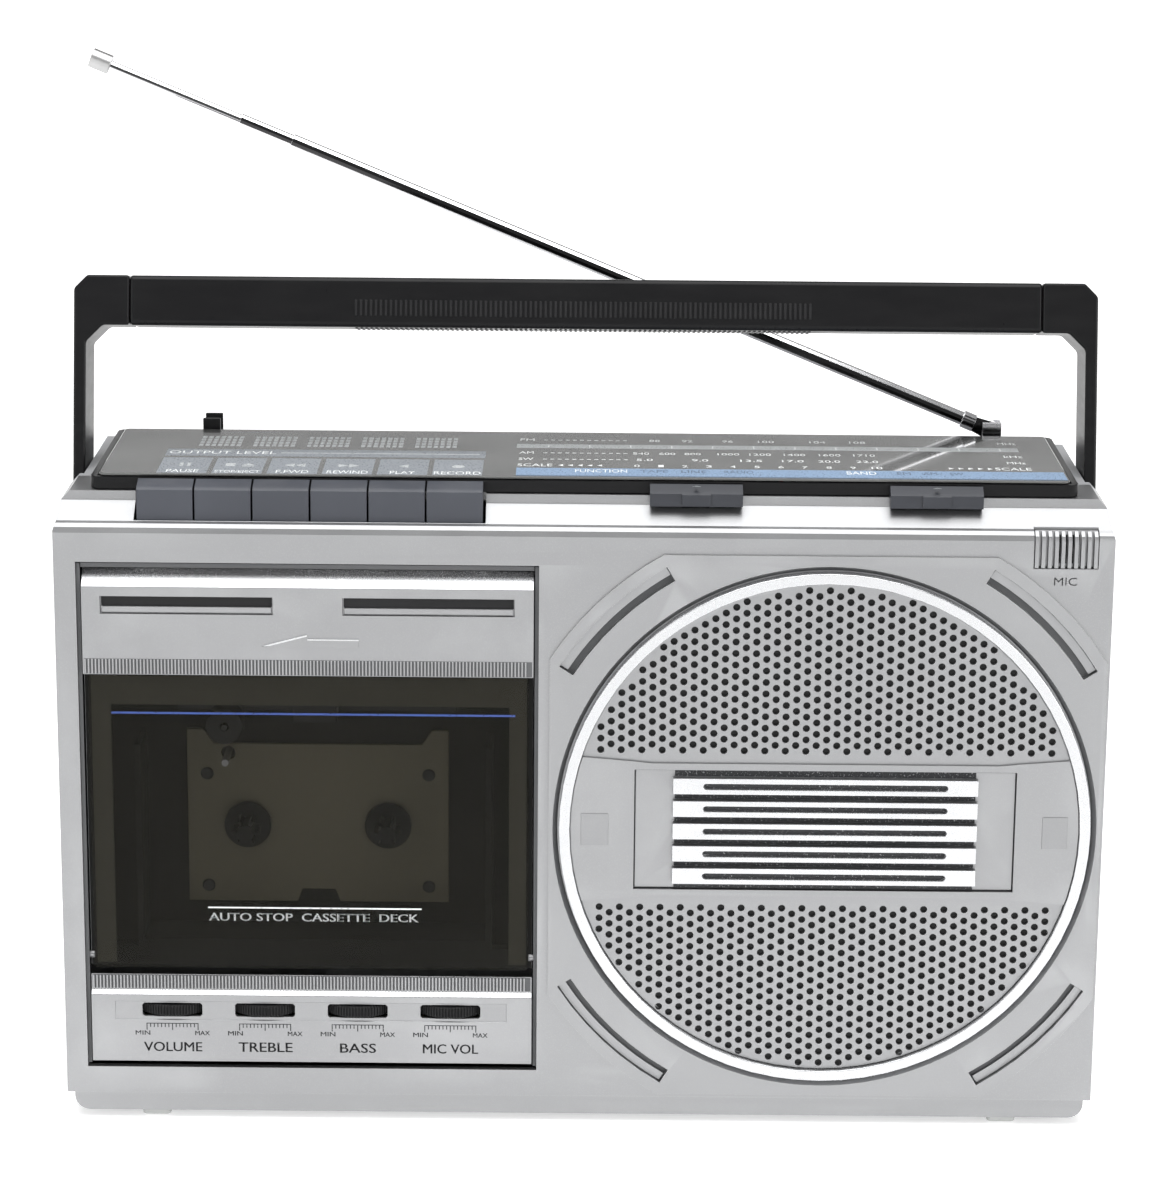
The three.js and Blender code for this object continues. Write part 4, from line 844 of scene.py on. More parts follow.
class MakeCabinet(bpy.types.Operator):
    """Front shell, rear shell, feet, battery lid and mains inlet"""

    bl_idname = "recorder.cabinet"
    bl_label = "Cabinet"
    bl_options = {"REGISTER", "UNDO"}

    def execute(self, context):
        edge = context.scene.recorder_sizes.edge / MM
        self.front(edge)
        self.door_gap()
        self.back(edge)
        for i in range(1, 5):
            polish(f"foot_{i}", "foot", 0.5)
        self.lid()
        self.inlet()
        return {"FINISHED"}

    @staticmethod
    def corners(box):
        """Cuts that round the skirt's two bottom corners, seen from the front."""
        low, high = box
        form = Form()
        for side, x in ((1, low.x + SKIRT_STEP), (-1, high.x - SKIRT_STEP)):
            start = math.pi if side > 0 else -math.pi / 2
            bend = circle((x + side * BEND, low.z + BEND), BEND, 6, start, math.pi / 2)
            out = [(x - side, low.z - 1), (x - side, low.z + BEND)]
            tail = [(x + side * BEND, low.z - 1)]
            form.prism(out + bend[::side] + tail, "y", low.y - 1, high.y + 1)
        return form

    def front(self, edge):
        """The front shell with its recess round the ring and its four corner slots."""
        box, ring = span("front_cabinet"), span("speaker_ring")
        x, _, z = centre("speaker_ring")
        radius = (ring[1].x - ring[0].x) / 2
        pad = box[0].y
        cuts = self.corners(box)
        recess = [(pad - 1, radius + 1.9), (pad, radius + 1.9), (1.1, radius + 0.45)]
        cuts.turned(recess, "y", (x, z), 144)
        # rim gives the bezel's slanted edge faces a painted highlight
        case = polish("front_cabinet", "silver", edge, cuts, smooth=30, rim=0.15)
        inner, outer = radius + 9.76, radius + 14.56

        def reach(p):
            return math.hypot(p.x - x, p.z - z)

        def in_recess(p):
            return -0.6 < p.y < 1.0 and radius + 0.5 < reach(p) < radius + 1.85

        # painted shade: the floors of the four corner slots get the dark grey finish
        coat(case, "gap", lambda p: 0.9 < p.y < 1.6 and inner < reach(p) < outer)
        # painted shade: the sloping recess round the ring gets the darker silver
        coat(case, "silver_rib", in_recess)
        steps = Form()
        half = 13.3  # degrees
        for turn in (45.7, 134.3, 225.7, 314.3):
            a, b = math.radians(turn - half), math.radians(turn + half)
            out = circle((x, z), outer - 0.2, 12, a, b - a)
            steps.prism(out + circle((x, z), inner + 2.0, 12, b, a - b), "y", 0.55, 1.3)
        piece("corner_slot_steps", steps, "body", "silver", 0.15)

    def door_gap(self):
        """The grey floor of the gap round the door: painted shade where the opening's edge slopes in."""
        top = span("door_frame")[1].z
        low, high = span("control_panel")
        depth = (1.2, 1.9)
        gaps = Form()
        for x in ((low.x - 1.4, low.x - 0.35), (high.x + 0.35, high.x + 1.4)):
            gaps.slab(x, depth, (low.z - 1.0, top + 2.0))
        gaps.slab((low.x - 0.1, high.x + 0.1), depth, (top + 0.9, top + 2.2))
        # painted shade: grey strips set in the gap round the door
        piece("door_gap_floor", gaps, "body", "gap")

    def back(self, edge):
        """The rear shell with its vents and six sunk screws."""
        low, high = span("rear_cabinet")
        back = high.y
        screws = [(x, z) for z in (low.z + 12, high.z - 22) for x in (low.x + 14, 0, high.x - 14)]
        wells, vents, heads, slots = Form(), Form(), Form(), Form()
        for place in screws:
            wells.turned([(back - 1.6, 4.4), (back + 1, 4.4)], "y", place, 32)
        for i in range(9):
            z = high.z - 52 - i * 4.2
            wells.prism(rounded((-46, 46), (z, z + 1.7), 0.8, 3), "y", back - 1.1, back + 1)
            vents.slab((-45.2, 45.2), (back - 1.16, back - 1.02), (z + 0.2, z + 1.5))
        skirt = self.corners((low, high))
        polish("rear_cabinet", "rear", edge, skirt, smooth=30, late=wells)
        piece("back_vents", vents, "body", "black_matt")
        dome = ((-1.55, 3.4), (-0.9, 3.5), (-0.5, 3.1), (-0.25, 2.2), (-0.2, 0.4))
        for x, z in screws:
            heads.turned([(back + depth, r) for depth, r in dome], "y", (x, z), 28)
            for w, h in ((2.2, 0.35), (0.35, 2.2)):
                slots.slab((x - w, x + w), (back - 0.9, back - 0.17), (z - h, z + h))
        piece("back_screws", heads, "body", "steel")
        piece("back_screw_slots", slots, "body", "black_matt")

    def lid(self):
        """The battery lid with its grip grooves and arrow."""
        low, high = span("battery_lid")
        depth = (high.y - 0.45, high.y + 1)
        grooves = Form()
        for i in range(9):
            z = low.z + 10 + i * 2.4
            grooves.slab((low.x + 12, high.x - 12), depth, (z, z + 1.1))
        grooves.prism([(-5, 62), (5, 62), (0, 56)], "y", *depth)
        polish("battery_lid", "rear", 0.12, grooves)

    def inlet(self):
        """The mains inlet, and its label turned to read from behind."""
        polish("mains_inlet", "black_matt", 0.2)
        low, high = span("mains_inlet")
        lift = span("rear_cabinet")[1].y - 0.005
        note = Form().words("AC IN", (low.x + 1, high.x - 1), high.z + 3, 2.2, lift)
        for v in note.bm.verts:
            v.co.x = (low.x + high.x) * MM - v.co.x
        bmesh.ops.reverse_faces(note.bm, faces=note.bm.faces)
        piece("mains_label", note, "body", "white")


class MakeDoor(bpy.types.Operator):
    """Cassette door with its window, strips, slots and printed lines"""

    bl_idname = "recorder.door"
    bl_label = "Cassette door"
    bl_options = {"REGISTER", "UNDO"}

    def execute(self, context):
        low, high = span("door_frame")
        panel_low, panel_high = span("control_panel")
        low.x, high.x = panel_low.x, panel_high.x
        self.crown(low, high)
        base = high.z - 31.0
        pitch = context.scene.recorder_sizes.rib_pitch / MM
        ribs("door", pitch, (low.x, high.x), low.y, (base, base + 4.4), 0.4, 0.03, "door")
        self.mark(low.y)
        self.window()
        return {"FINISHED"}

    def crown(self, low, high):
        """The frame with its chamfered top edge and two finger slots."""
        y = low.y
        w_low, w_high = span("door_window")
        slots = Form()
        openings = ((-141.65, -90.97), (-70.55, -20.06))
        for x in openings:
            slots.slab(x, (y - 1, y + 1.3), (158.7, 164.0))
        foot, top = high.z - 4.7, high.z + 0.1
        outline = [(y - 1, foot), (y, foot), (y + 4.4, top), (y - 1, top)]
        slots.prism(outline, "x", low.x - 1, high.x + 1)
        door = polish("door_frame", "silver", 0.35, slots, smooth=30)

        def chamfer(p):
            inside = low.x + 1 < p.x < high.x - 1 and high.z - 4.6 < p.z < high.z - 0.1
            return inside and y + 0.4 < p.y < y + 4

        def rear(p):
            behind = p.y > y + 2.0 and w_low.x < p.x < w_high.x and p.z < w_high.z
            return behind or p.y > y + 5.1

        # painted highlight: the chamfer along the door's top edge gets the bright silver
        coat(door, "silver_bright", chamfer)
        coat(door, "well", rear)
        trim, inner = Form(), Form()
        for a, b in openings:
            trim.slab((a + 0.5, b - 0.5), (y + 0.5, y + 1.28), (159.1, 160.9))
            inner.slab((a + 0.3, b - 0.3), (y + 1.1, y + 1.29), (160.9, 163.7))
        piece("door_slot_trim", trim, "door", "silver", 0.2)
        piece("door_slot_shadow", inner, "door", "black_matt")

    def mark(self, y):
        """The raised opening mark and a painted highlight along its upper edges."""
        mark = Form().prism(
            [(-94.5, 149.1), (-65.9, 149.1), (-65.9, 151.4), (-80.9, 151.4), (-80.9, 152.7)],
            "y", y - 0.3, y + 0.1,
        )
        piece("door_mark", mark, "door", "silver", 0.12)
        # painted highlight: a thin bright strip along the mark's upper edges
        glint, depth = Form(), (y - 0.34, y)
        glint.prism([(-94.5, 149.3), (-81.0, 152.9), (-81.0, 152.4), (-91.9, 149.5)], "y", *depth)
        glint.prism([(-80.9, 151.2), (-80.9, 151.6), (-65.8, 151.6), (-65.8, 151.2)], "y", *depth)
        piece("door_mark_edge", glint, "door", "silver_bright")

    def window(self):
        """The smoked window, its printed lines and the rim behind it."""
        low, high = span("door_window")
        polish("door_window", "window", 0.25)
        face = low.y - 0.015
        film = (face, face + 0.02)
        blue = Form().slab((low.x + 6.8, high.x - 4), film, (128.3, 128.9))
        piece("window_blue_line", blue, "door", "line_blue")
        lines = Form().slab((-111.4, -47.6), film, (68.0, 68.45))
        lines.words("AUTO STOP  CASSETTE  DECK", (-111.2, -48.6), 64.1, 2.5, face)
        piece("window_print", lines, "door", "white")
        rim, depth = Form(), (high.y + 0.02, high.y + 0.4)
        left, right, top = low.x + 6.4, high.x - 5.8, high.z - 0.6
        for x in ((low.x + 0.6, left), (right, high.x - 0.6)):
            rim.slab(x, depth, (low.z + 1, top))
        rim.slab((left, right), depth, (high.z - 9.5, top))
        piece("window_edge", rim, "door", "window_rim")


class MakeControls(bpy.types.Operator):
    """Control panel with ribs, scale marks, labels and four thumbwheels"""

    bl_idname = "recorder.controls"
    bl_label = "Control panel"
    bl_options = {"REGISTER", "UNDO"}

    def execute(self, context):
        sizes = context.scene.recorder_sizes
        low, high = span("control_panel")
        y = low.y
        step, foot = y + 1.2, high.z - 6.2
        pit = Form().slab((low.x + 7.2, high.x - 7.65), (y - 1, y + 0.35), (32.4, 38.2))
        slope = [(y - 1, foot), (y, foot), (step, foot + 1.4), (step, high.z + 1), (y - 1, high.z + 1)]
        pit.prism(slope, "x", low.x - 1, high.x + 1)
        panel = polish("control_panel", "silver", 0.2, pit, smooth=30)

        def sloped(p):
            return y < p.y < step and foot < p.z < foot + 1.4 and low.x + 1 < p.x < high.x - 1

        # painted highlight: the sloped step along the panel's top gets the bright silver
        coat(panel, "silver_bright", sloped)
        strip = (high.z - 4.4, high.z - 0.3)
        ribs("panel", sizes.rib_pitch / MM, (low.x, high.x), step, strip, 0.5, 0.05, "body")
        marks = Form()
        for name, label, half in (
            ("volume", "VOLUME", 8.75),
            ("treble", "TREBLE", 8.1),
            ("bass", "BASS", 5.4),
            ("mic", "MIC VOL", 8.3),
        ):
            self.scale(marks, "wheel_" + name, label, half, y)
            self.wheel("wheel_" + name, sizes.knurls)
        piece("panel_print", marks, "body", "dark_print")
        return {"FINISHED"}

    def scale(self, marks, node, label, half, y):
        """The printed scale and words under a thumbwheel."""
        x = centre(node)[0]
        z = span(node)[1].z - WHEEL_RIM / 2
        marks.words(label, (x - half, x + half), z - 13.2, 3.0, y - 0.015)
        marks.words("MIN", (x - 11.2, x - 6.8), z - 8.0, 1.4, y - 0.015)
        marks.words("MAX", (x + 6.8, x + 11.2), z - 8.0, 1.4, y - 0.015)
        for i in range(15):
            t = x - 7.7 + i * 1.1
            drop = 0.9 if i % 7 == 0 else 0.0
            marks.slab((t - 0.15, t + 0.15), (y - 0.02, y), (z - 5.5 - drop, z - 4.3))
        marks.slab((x - 7.85, x + 7.85), (y - 0.02, y), (z - 4.4, z - 4.15))

    def wheel(self, node, knurls):
        """A toothed rim and its hub stand for a plain wheel."""
        low, high = span(node)
        x, y, _ = centre(node)
        radius, bottom = (high.x - low.x) / 2, high.z - WHEEL_RIM
        teeth = []
        for i in range(knurls * 4):
            turn = math.tau * i / (knurls * 4)
            r = radius - (0.0, 0.0, 0.42, 0.42)[i % 4]
            teeth.append((x + r * math.cos(turn), y + r * math.sin(turn)))
        inset = [(x + (px - x) * 0.965, y + (py - y) * 0.965) for px, py in teeth]
        levels = ((inset, bottom), (teeth, bottom + 0.35), (teeth, high.z - 0.35), (inset, high.z))
        rim = Form().loft([[(px, py, z) for px, py in points] for points, z in levels])
        body = BODY_OF[node]
        piece(node + "_made", rim, body, "black_matt", nodes=(node,), smooth=25)
        profile = [(low.z, 2.6), (low.z + 0.4, 3.0), (bottom - 0.02, 3.0)]
        piece(node + "_hub", Form().turned(profile, "z", (x, y), 24), body, "brass")


class MakeDeck(bpy.types.Operator):
    """Cassette well, deck plate, spindles, head bridge, flywheel, motor and belt"""

    bl_idname = "recorder.deck"
    bl_label = "Deck"
    bl_options = {"REGISTER", "UNDO"}

    def execute(self, context):
        polish_all(
            ("cassette_well", "black_plastic", "well", 0.3),
            ("deck_plate", "deck_steel", "deck", 0.25),
            ("takeup_spindle", "black_plastic", "black", 0.15),
            ("supply_spindle", "black_plastic", "black", 0.15),
            ("flywheel", "deck_steel", "steel", 0.2),
            ("flywheel_bracket", "deck_steel", "steel", 0.2),
            ("motor", "deck_steel", "steel", 0.3),
            ("motor_pulley", "brass", "brass", 0.1),
            ("drive_belt", "rubber_black", "rubber", 0.12),
            ("head_bridge", "deck_steel", "blued", 0.2),
            ("tape_head", "chrome", "blued", 0.25),
            ("pinch_roller", "rubber_black", "rubber", 0.3),
        )
        low, high = span("deck_plate")
        screws = Form()
        profile = [(low.y - 0.5, 1.6), (low.y - 0.1, 2.0), (low.y + 0.2, 2.0)]
        for x in (low.x + 6, high.x - 6):
            for z in (high.z - 14, low.z + 5):
                screws.turned(profile, "y", (x, z), 20)
        piece("deck_screws", screws, "body", "blued")
        low, high = span("tape_head")
        x = centre("tape_head")[0]
        gap = Form().slab((x - 0.08, x + 0.08), (low.y + 2, high.y - 2), (low.z - 0.02, low.z + 0.2))
        piece("head_gap", gap, "head_bridge", "black_matt")
        return {"FINISHED"}


class MakeKeys(bpy.types.Operator):
    """Six piano keys with their rod"""

    bl_idname = "recorder.keys"
    bl_label = "Piano keys"
    bl_options = {"REGISTER", "UNDO"}

    def execute(self, context):
        for key in ("pause", "stop", "forward", "rewind", "play", "record"):
            polish("key_" + key, "charcoal", 0.4, smooth=30)
        polish("key_rod", "steel", 0.1)
        return {"FINISHED"}


class MakeSwitches(bpy.types.Operator):
    """Function and band switches"""

    bl_idname = "recorder.switches"
    bl_label = "Switches"
    bl_options = {"REGISTER", "UNDO"}

    def execute(self, context):
        for node in ("function_knob", "band_knob"):
            low, high = span(node)
            x = centre(node)[0]
            polish(node, "switch", 0.3, smooth=30)
            arrow = [(x - 1.3, low.y + 0.9), (x + 1.3, low.y + 0.9), (x, low.y + 2.2)]
            mark = Form().prism(arrow, "z", high.z - 0.05, high.z + 0.02)
            piece(node + "_mark", mark, BODY_OF[node], "grey_print")
        polish("switch_board", "board", 0)
        return {"FINISHED"}


class MakeDial(bpy.types.Operator):
    """Dial housing, printed plate, pointer and tuning wheel"""

    bl_idname = "recorder.dial"
    bl_label = "Dial"
    bl_options = {"REGISTER", "UNDO"}

    def execute(self, context):
        polish("dial_housing", "black", 0.5, smooth=30)
        polish_all(
            ("dial_plate", "dial_gloss", "dial", 0.25),
            ("dial_pointer", "pointer_red", "red", 0.1),
            ("tuning_knob", "black_plastic", "black_matt", 0.15),
        )
        low, high = span("dial_plate")
        front, z = low.y, high.z
        film, raised = (z - 0.01, z + 0.012), (z - 0.01, z + 0.02)
        words = Form()
        self.level_bars(raised)
        self.key_signs(words, front, z, film, raised)
        self.scales(words, z, film, raised)
        self.band(words, front, z, film)
        self.printed("dial_print", words, "white")
        return {"FINISHED"}

    @staticmethod
    def printed(name, form, material):
        """A print on the dial plate."""
        piece(name, form, "body", material)

    def level_bars(self, raised):
        """Five groups of short bars along the back edge."""
        bars = Form()
        for group in range(5):
            for i in range(7):
                x = -117.2 + group * 16.4 + i * 1.9
                for j in range(4):
                    bars.slab((x, x + 1.25), (50.6 + j * 3.8, 53.6 + j * 3.8), raised)
        self.printed("level_bars", bars, "dial_line")

    def key_signs(self, words, front, z, film, raised):
        """A block, a name and a sign above each key."""
        strip, icons = Form().slab((-125.9, -29.8), (36.2, 46.0), film), Form()
        names = ("PAUSE", "STOP/EJECT", "F.FWD", "REWIND", "PLAY", "RECORD")
        for i, (name, wide) in enumerate(zip(names, (9.4, 13.4, 9.6, 12.1, 7.4, 13.8))):
            left = -125.8 + i * 16.2
            right = left + 14.7
            mid = (left + right) / 2
            strip.slab((left, right), (front + 0.7, 33.6), film)
            words.words(name, (mid - wide / 2, mid + wide / 2), 13.2, 4.0, z + PRINT_LIFT, "top")
            self.icon(icons, i, mid, 24.0, raised)
        self.printed("key_blocks", strip, "blue_grey")
        self.printed("key_icons", icons, "dial_line")
        words.words("OUTPUT LEVEL", (-125.0, -92.8), 39.4, 4.0, z + PRINT_LIFT, "top")
        self.printed("level_line", Form().slab((-91.5, -31.5), (40.8, 41.8), raised), "dial_line")

    @staticmethod
    def icon(form, kind, x, y, lift):
        """Generic transport signs: bars, square, triangles and a ring."""

        def triangle(tail, way):
            points = [(tail, y - 2.2), (tail, y + 2.2), (tail + 3.0 * way, y)]
            form.prism(points[::way], "z", *lift)

        if kind == 0:
            for dx in (-1.6, 0.6):
                form.slab((x + dx, x + dx + 1.0), (y - 2.2, y + 2.2), lift)
        elif kind == 1:
            form.slab((x - 4.2, x - 1.4), (y - 2.0, y + 2.0), lift)
            form.prism([(x + 0.8, y - 0.6), (x + 4.4, y - 0.6), (x + 2.6, y + 2.2)], "z", *lift)
            form.slab((x + 0.8, x + 4.4), (y - 2.2, y - 1.3), lift)
        elif kind == 2:
            triangle(x, -1)
            triangle(x + 3.2, -1)
        elif kind == 3:
            triangle(x, 1)
            triangle(x - 3.2, 1)
        elif kind == 4:
            triangle(x + 1.4, -1)
        else:
            form.prism(circle((x, y), 1.9, 24), "z", *lift)

    def scales(self, words, z, film, raised):
        """The pointer's channel and the four rows of the tuning scale."""
        lift = z + PRINT_LIFT
        self.printed("dial_channel", Form().slab((-20.7, 132.0), (51.8, 57.4), film), "dial_line")
        ticks = Form()
        for i in range(12):
            x = -11 + i * 12.5
            ticks.slab((x - 0.2, x + 0.2), (52.6, 56.6), (z + 0.01, z + 0.03))
        am = (17, 24.9, 32.6, 43.4, 53, 63.4, 74, 84.4)
        for y, name, unit, places, texts in (
            (62.2, "FM", "MHz", (21.4, 31.4, 43.8, 55.6, 71.4, 83.6), "88 92 96 100 104 108"),
            (43.4, "AM", "kHz", am, "540 600 800 1000 1200 1400 1600 1710"),
            (34.4, "SW", "MHz", (18, 34.6, 49.9, 62.4, 73.3, 84.7), "5.0 9.0 13.5 17.0 20.0 22.0"),
            (25.8, None, None, [15.6 + i * 7.14 for i in range(11)], "0 1 2 3 4 5 6 7 8 9 10"),
        ):
            for x, text in zip(places, texts.split()):
                half = 0.82 * len(text)
                words.words(text, (x - half, x + half), y, 3.0, lift, "top")
            if name:
                words.words(name, (-19.8, -15.4), y, 3.2, lift, "top")
                words.words(unit, (126.6, 132.2), y, 3.0, lift, "top")
                for i in range(12):
                    ticks.slab((-12.5 + i * 2.2, -11.3 + i * 2.2), (y + 1.1, y + 1.7), raised)
        for x in ((-20.0, -9.6), (122.2, 133.0)):
            words.words("SCALE", x, 25.6, 3.6, lift, "top")
        for i in range(5):
            for x, way in ((-6.4 + i * 2.9, -1), (108.4 + i * 2.9, 1)):
                arrow = [(x, 26.2), (x, 28.6), (x + 1.5 * way, 27.4)]
                words.prism(arrow[::way], "z", *raised)
        self.printed("dial_ticks", ticks, "white")

    def band(self, words, front, z, film):
        """The blue band along the front with the switches' names and positions."""
        lift, small = z + OVERPRINT_LIFT, Form()
        for name, x in (("FUNCTION", (-2.8, 12.6)), ("BAND", (77.5, 86.2))):
            words.words(name, x, front + 6.4, 4.2, lift, "top")
        for name, x in (
            ("TAPE", (16.5, 24.6)),
            ("LINE", (28.6, 36.1)),
            ("RADIO", (41.3, 49.9)),
            ("FM", (92.4, 96.4)),
            ("AM", (100, 104.2)),
            ("SW", (108, 112)),
        ):
            small.words(name, x, front + 6.6, 3.6, lift, "top")
        wide = (-20.2, 142.0)
        self.printed("dial_band", Form().slab(wide, (front + 1.9, 23.4), film), "blue")
        edge = Form().slab(wide, (front + 0.5, front + 1.8), film)
        self.printed("dial_band_edge", edge, "blue_deep")
        self.printed("switch_positions", small, "blue_deep")


class MakeSpeaker(bpy.types.Operator):
    """Perforated grille, ring, centre bars, badge plate and the driver behind"""

    bl_idname = "recorder.speaker"
    bl_label = "Loudspeaker"
    bl_options = {"REGISTER", "UNDO"}

    def execute(self, context):
        sizes = context.scene.recorder_sizes
        low, high = span("speaker_grille")
        x, y, z = centre("speaker_grille")
        radius = (high.x - low.x) / 2
        grille = shown("speaker_grille_made", merged("speaker_grille"))
        grow(
            grille,
            perforation_tree(HOLE_ROWS),
            FINISH["silver"],
            Pitch=sizes.hole_pitch,
            Hole_Radius=sizes.hole_radius,
            Disc_Radius=(radius - 1.0) * MM,
            Band_Half=BAND_HALF * MM,
            Centre=list(at(x, y, z)),
            Depth=0.02,
        )
        settle(grille, "body", 30, ("speaker_grille",))
        # painted highlight: the ring is made in the lighter, glossier copy of the silver paint
        polish("speaker_ring", "silver_bright", 0.9, segments=3)
        self.badge(x, z)
        back = [(high.y + 0.05, radius - 0.8), (high.y + 0.22, radius - 0.8)]
        cloth = Form().turned(back, "y", (x, z), 96)
        piece("grille_cloth", cloth, "body", "rubber")
        tabs = Form()
        for side in ((-0.2, 8.0), (136.8, 144.4)):
            tabs.slab(side, (low.y - 0.28, low.y + 0.3), (z - 5, z + 5))
        # painted shade: the tabs use the darker copy of the silver paint
        piece("band_tabs", tabs, "body", "silver_rib", 0.25)
        polish_all(
            ("speaker_basket", "black_plastic", "black_matt", 0),
            ("speaker_magnet", "ferrite_magnet", "ferrite", 0.4),
            ("speaker_cone", "cone_paper", "paper", 0),
        )
        return {"FINISHED"}

    def badge(self, x, z):
        """The badge's bars in the bright silver, a painted highlight, with dark lines of painted shade
        between and along them.
        """
        badge = polish("speaker_badge", "silver", 0.3, smooth=30)
        front = span("speaker_badge")[0].y
        # painted highlight: the bars' fronts get the bright silver
        coat(badge, "silver_bright", lambda p: p.y < front + 1.0)
        # painted shade: dark strips in the gaps between the bars and in their slots
        lines = Form()
        pitch = 6.97
        for i in range(6):
            mid = z + (i - 2.5) * pitch
            lines.slab((x - 44.6, x + 44.6), (-0.17, -0.08), (mid - 0.95, mid + 0.95))
        for i in range(5):
            mid = z + (i - 2) * pitch
            slot = rounded((x - 36, x + 36), (mid - 0.8, mid + 0.8), 0.7, 4)
            lines.prism(slot, "y", front + 1.12, front + 1.19)
        piece("bar_gaps", lines, "body", "dark_print")


class MakeMicrophone(bpy.types.Operator):
    """Ribbed microphone grille and its label"""

    bl_idname = "recorder.microphone"
    bl_label = "Microphone grille"
    bl_options = {"REGISTER", "UNDO"}

    def execute(self, context):
        polish("mic_grille", "silver", 0.2, smooth=30)
        low, high = span("mic_grille")
        x = centre("mic_grille")[0]
        label = Form().words("MIC", (x - 3.4, x + 3.4), low.z - 5.2, 2.4, -0.03)
        # painted shade: the letters use the darker copy of the silver paint
        piece("mic_label", label, "body", "silver_rib")
        gauze = Form().slab((x - 3.4, x + 3.9), (2.0, 2.35), (low.z + 1, high.z - 1.2))
        piece("mic_gauze", gauze, "body", "black_matt")
        return {"FINISHED"}


class MakeHandle(bpy.types.Operator):
    """Carrying handle with its ribbed grip"""

    bl_idname = "recorder.handle"
    bl_label = "Carrying handle"
    bl_options = {"REGISTER", "UNDO"}

    def execute(self, context):
        for node in ("handle_arm_left", "handle_arm_right", "handle_grip"):
            polish(node, "black", 0.8, smooth=30, segments=3)
        pivot = Vector(next(j for j in frame["joints"] if j["name"] == "handle_swing")["pos_m"])
        lean = Matrix.Rotation(math.radians(-HANDLE_LEAN), 4, "X")
        back = lean.inverted()
        local = [back @ (v.co - pivot) for v in frame["nodes"]["handle_grip"].data.vertices]
        front, rear = min(p.y for p in local) / MM, max(p.y for p in local) / MM
        base = min(p.z for p in local) / MM
        pitch = context.scene.recorder_sizes.grip_pitch / MM
        half = 69.5
        outer = [
            (front - 0.3, base + 8.2),
            (front - 0.3, base + 3.6),
            (front + 3.4, base - 0.3),
            (rear - 3.4, base - 0.3),
            (rear + 0.3, base + 3.6),
            (rear + 0.3, base + 8.2),
        ]
        inner = [
            (rear - 1, base + 8.2),
            (rear - 4, base + 1.5),
            (front + 4, base + 1.5),
            (front + 1, base + 8.2),
        ]
        rib = Form().prism(outer + inner, "x", -half, -half + pitch * 0.52)
        for v in rib.bm.verts:
            x = v.co.x
            v.co = lean @ Vector((x, v.co.y - FRONT_Y, v.co.z)) + pivot
            v.co.x = x
        count = int(2 * half / pitch)
        row("grip_ribs", rib, count, (pitch, 0, 0), "handle", "black_matt", 0.1)
        return {"FINISHED"}


class MakeAerial(bpy.types.Operator):
    """Telescopic aerial, its swivel and its clip"""

    bl_idname = "recorder.aerial"
    bl_label = "Aerial"
    bl_options = {"REGISTER", "UNDO"}

    def execute(self, context):
        polish("aerial_swivel", "chrome", 0.2)
        for i in (1, 2, 3):
            # the tubes carry a painted reflection, dark on their sides facing front and back
            tube = polish(f"aerial_tube_{i}", "aerial", 0.12, smooth=40)
        tip = span("aerial_tube_3")[0].x + 7.4
        coat(tube, "steel", lambda p: p.x < tip)
        polish("aerial_clip", "black_matt", 0.25)
        return {"FINISHED"}


class MakeInside(bpy.types.Operator):
    """Boards, capacitor and transformer inside the cabinet"""

    bl_idname = "recorder.inside"
    bl_label = "Inner parts"
    bl_options = {"REGISTER", "UNDO"}

    def execute(self, context):
        polish_all(
            ("main_board", "circuit_board", "board", 0.2),
            ("control_board", "circuit_board", "board", 0.2),
            ("tuning_capacitor", "capacitor_pale", "cream", 0.2),
            ("transformer", "deck_steel", "steel", 0.2),
        )
        return {"FINISHED"}


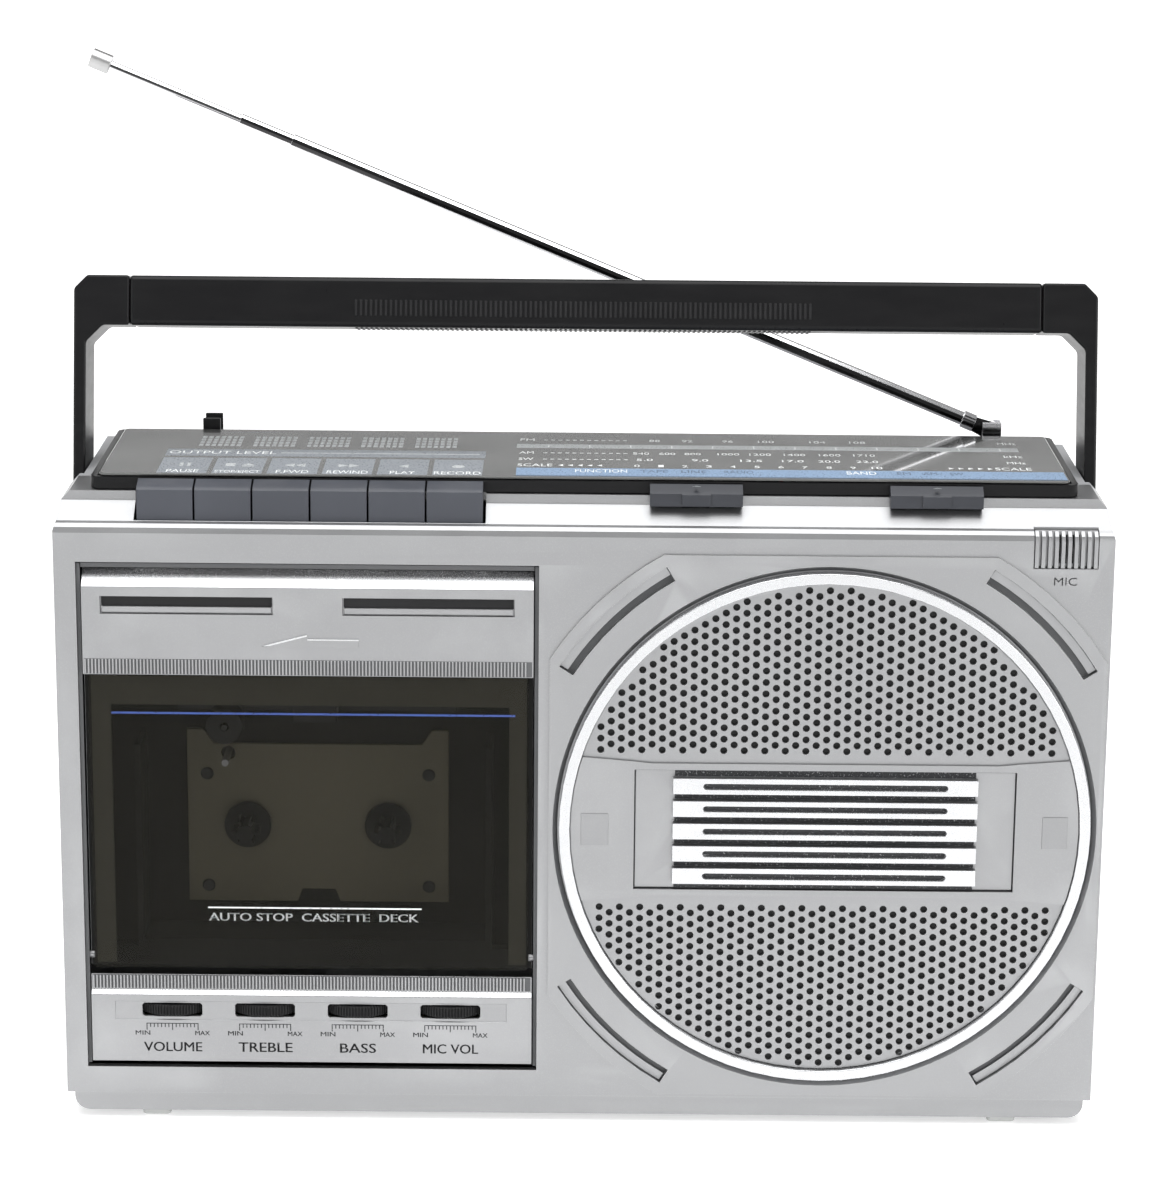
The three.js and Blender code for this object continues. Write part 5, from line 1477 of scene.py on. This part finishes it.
class MakeStage(bpy.types.Operator):
    """Pale floor, soft lights and the camera"""

    bl_idname = "recorder.stage"
    bl_label = "Stage"
    bl_options = {"REGISTER", "UNDO"}

    def execute(self, context):
        scene = context.scene
        scene.view_settings.view_transform = "Standard"
        self.floor()
        world = bpy.data.worlds.new("studio")
        world.use_nodes = True
        sky = world.node_tree.nodes["Background"].inputs
        sky[0].default_value, sky[1].default_value = (1.0, 1.0, 1.0, 1.0), WORLD_LIGHT
        scene.world = world
        self.lamps()
        camera = bpy.data.cameras.new("camera")
        camera.lens, camera.sensor_width = LENS, SENSOR
        camera.clip_start, camera.clip_end = 0.05, 80.0
        eye = shown("camera", camera)
        tilt = Matrix.Rotation(math.radians(90 - CAMERA_DIP), 4, "X")
        roll = Matrix.Rotation(math.radians(CAMERA_ROLL), 4, "Z")
        eye.matrix_world = Matrix.Translation(CAMERA_PLACE) @ tilt @ roll
        scene.camera = eye
        return {"FINISHED"}

    @staticmethod
    def paper(tree):
        """A white sweep with a painted glow: its emission rises the further it lies from the object, and
        in front of the object it rises toward it.
        """

        def ease(value, *limits):
            settings = {"interpolation_type": "SMOOTHSTEP"}
            return tree.add("ShaderNodeMapRange", settings, value, *limits)

        place = tree.place()
        away = tree.add("ShaderNodeVectorMath", {"operation": "LENGTH"}, place).out("Value")
        depth = tree.add("ShaderNodeSeparateXYZ", {}, place).out("Y")
        # painted light: emission set by place, stronger far out and in a band before the object
        glow = 0.15 + ease(depth, -0.5, -0.1, 0.0, 0.3) + ease(away, 0.35, 2.6, 0.0, 0.6)
        return {
            "Roughness": 0.62 + 0.1 * tree.noise(place, 20.0),
            "Emission_Color": tree.mix(glow, (0.0, 0.0, 0.0), (1.0, 1.0, 1.0)),
        }

    def floor(self):
        """A round floor with a low wall at its rim, in metres."""
        sides, reach, height = 64, 30.0, 5.0
        rim = circle((0, 0), reach, sides)
        points = [(*p, z) for z in (0, height) for p in rim]
        wall = [(i, i + sides, (i + 1) % sides + sides, (i + 1) % sides) for i in range(sides)]
        mesh = bpy.data.meshes.new("floor")
        mesh.from_pydata(points, [], [tuple(range(sides))] + wall)
        floor = shown("floor", mesh)
        white = (0.9, 0.9, 0.9)
        # the floor glows by its emission, painted light shaped in paper
        made = finish("floor_white", self.paper, Base_Color=white, Emission_Strength=1.0)
        mesh.materials.append(made)

    def lamps(self):
        """Three soft lights: name, place, aim, size and power."""
        for name, place, aim, size, power in (
            ("overhead", (0.0, -0.25, 1.5), (0, 0, 0.1), 1.6, 29.0),
            ("front_left", (-1.3, -1.2, 0.8), (0, 0, 0.12), 0.9, 5.0),
            ("front_right", (1.4, -1.0, 0.6), (0, 0, 0.08), 0.9, 9.0),
        ):
            light = bpy.data.lights.new(name, "AREA")
            light.energy, light.size = power, size
            lamp = shown(name, light)
            lamp.location = place
            lamp.rotation_euler = (Vector(aim) - Vector(place)).to_track_quat("-Z", "Y").to_euler()


MAKERS = (
    MakeCabinet,
    MakeDoor,
    MakeControls,
    MakeDeck,
    MakeKeys,
    MakeSwitches,
    MakeDial,
    MakeSpeaker,
    MakeMicrophone,
    MakeHandle,
    MakeAerial,
    MakeInside,
    MakeStage,
)


class RECORDER_PT_parts(bpy.types.Panel):
    """Lists the recorder's settings and makers"""

    bl_label = "Recorder"
    bl_idname = "RECORDER_PT_parts"
    bl_space_type = "VIEW_3D"
    bl_region_type = "UI"
    bl_category = "Recorder"

    def draw(self, context):
        for group in (context.scene.recorder_sizes, context.scene.recorder_colours):
            for key in group.__annotations__:
                self.layout.prop(group, key)
        for maker in MAKERS:
            self.layout.operator(maker.bl_idname)


CLASSES = (RecorderSizes, RecorderColours, *MAKERS, RECORDER_PT_parts)


def register():
    for each in CLASSES:
        bpy.utils.register_class(each)
    bpy.types.Scene.recorder_sizes = PointerProperty(type=RecorderSizes)
    bpy.types.Scene.recorder_colours = PointerProperty(type=RecorderColours)


def unregister():
    del bpy.types.Scene.recorder_colours
    del bpy.types.Scene.recorder_sizes
    for each in reversed(CLASSES):
        bpy.utils.unregister_class(each)


def main():
    register()
    FINISH.update(make_finishes(bpy.context.scene.recorder_colours))
    TREES.update(row=row_tree())
    for maker in MAKERS:
        family, name = maker.bl_idname.split(".")
        getattr(getattr(bpy.ops, family), name)()


if __name__ == "__main__":
    main()
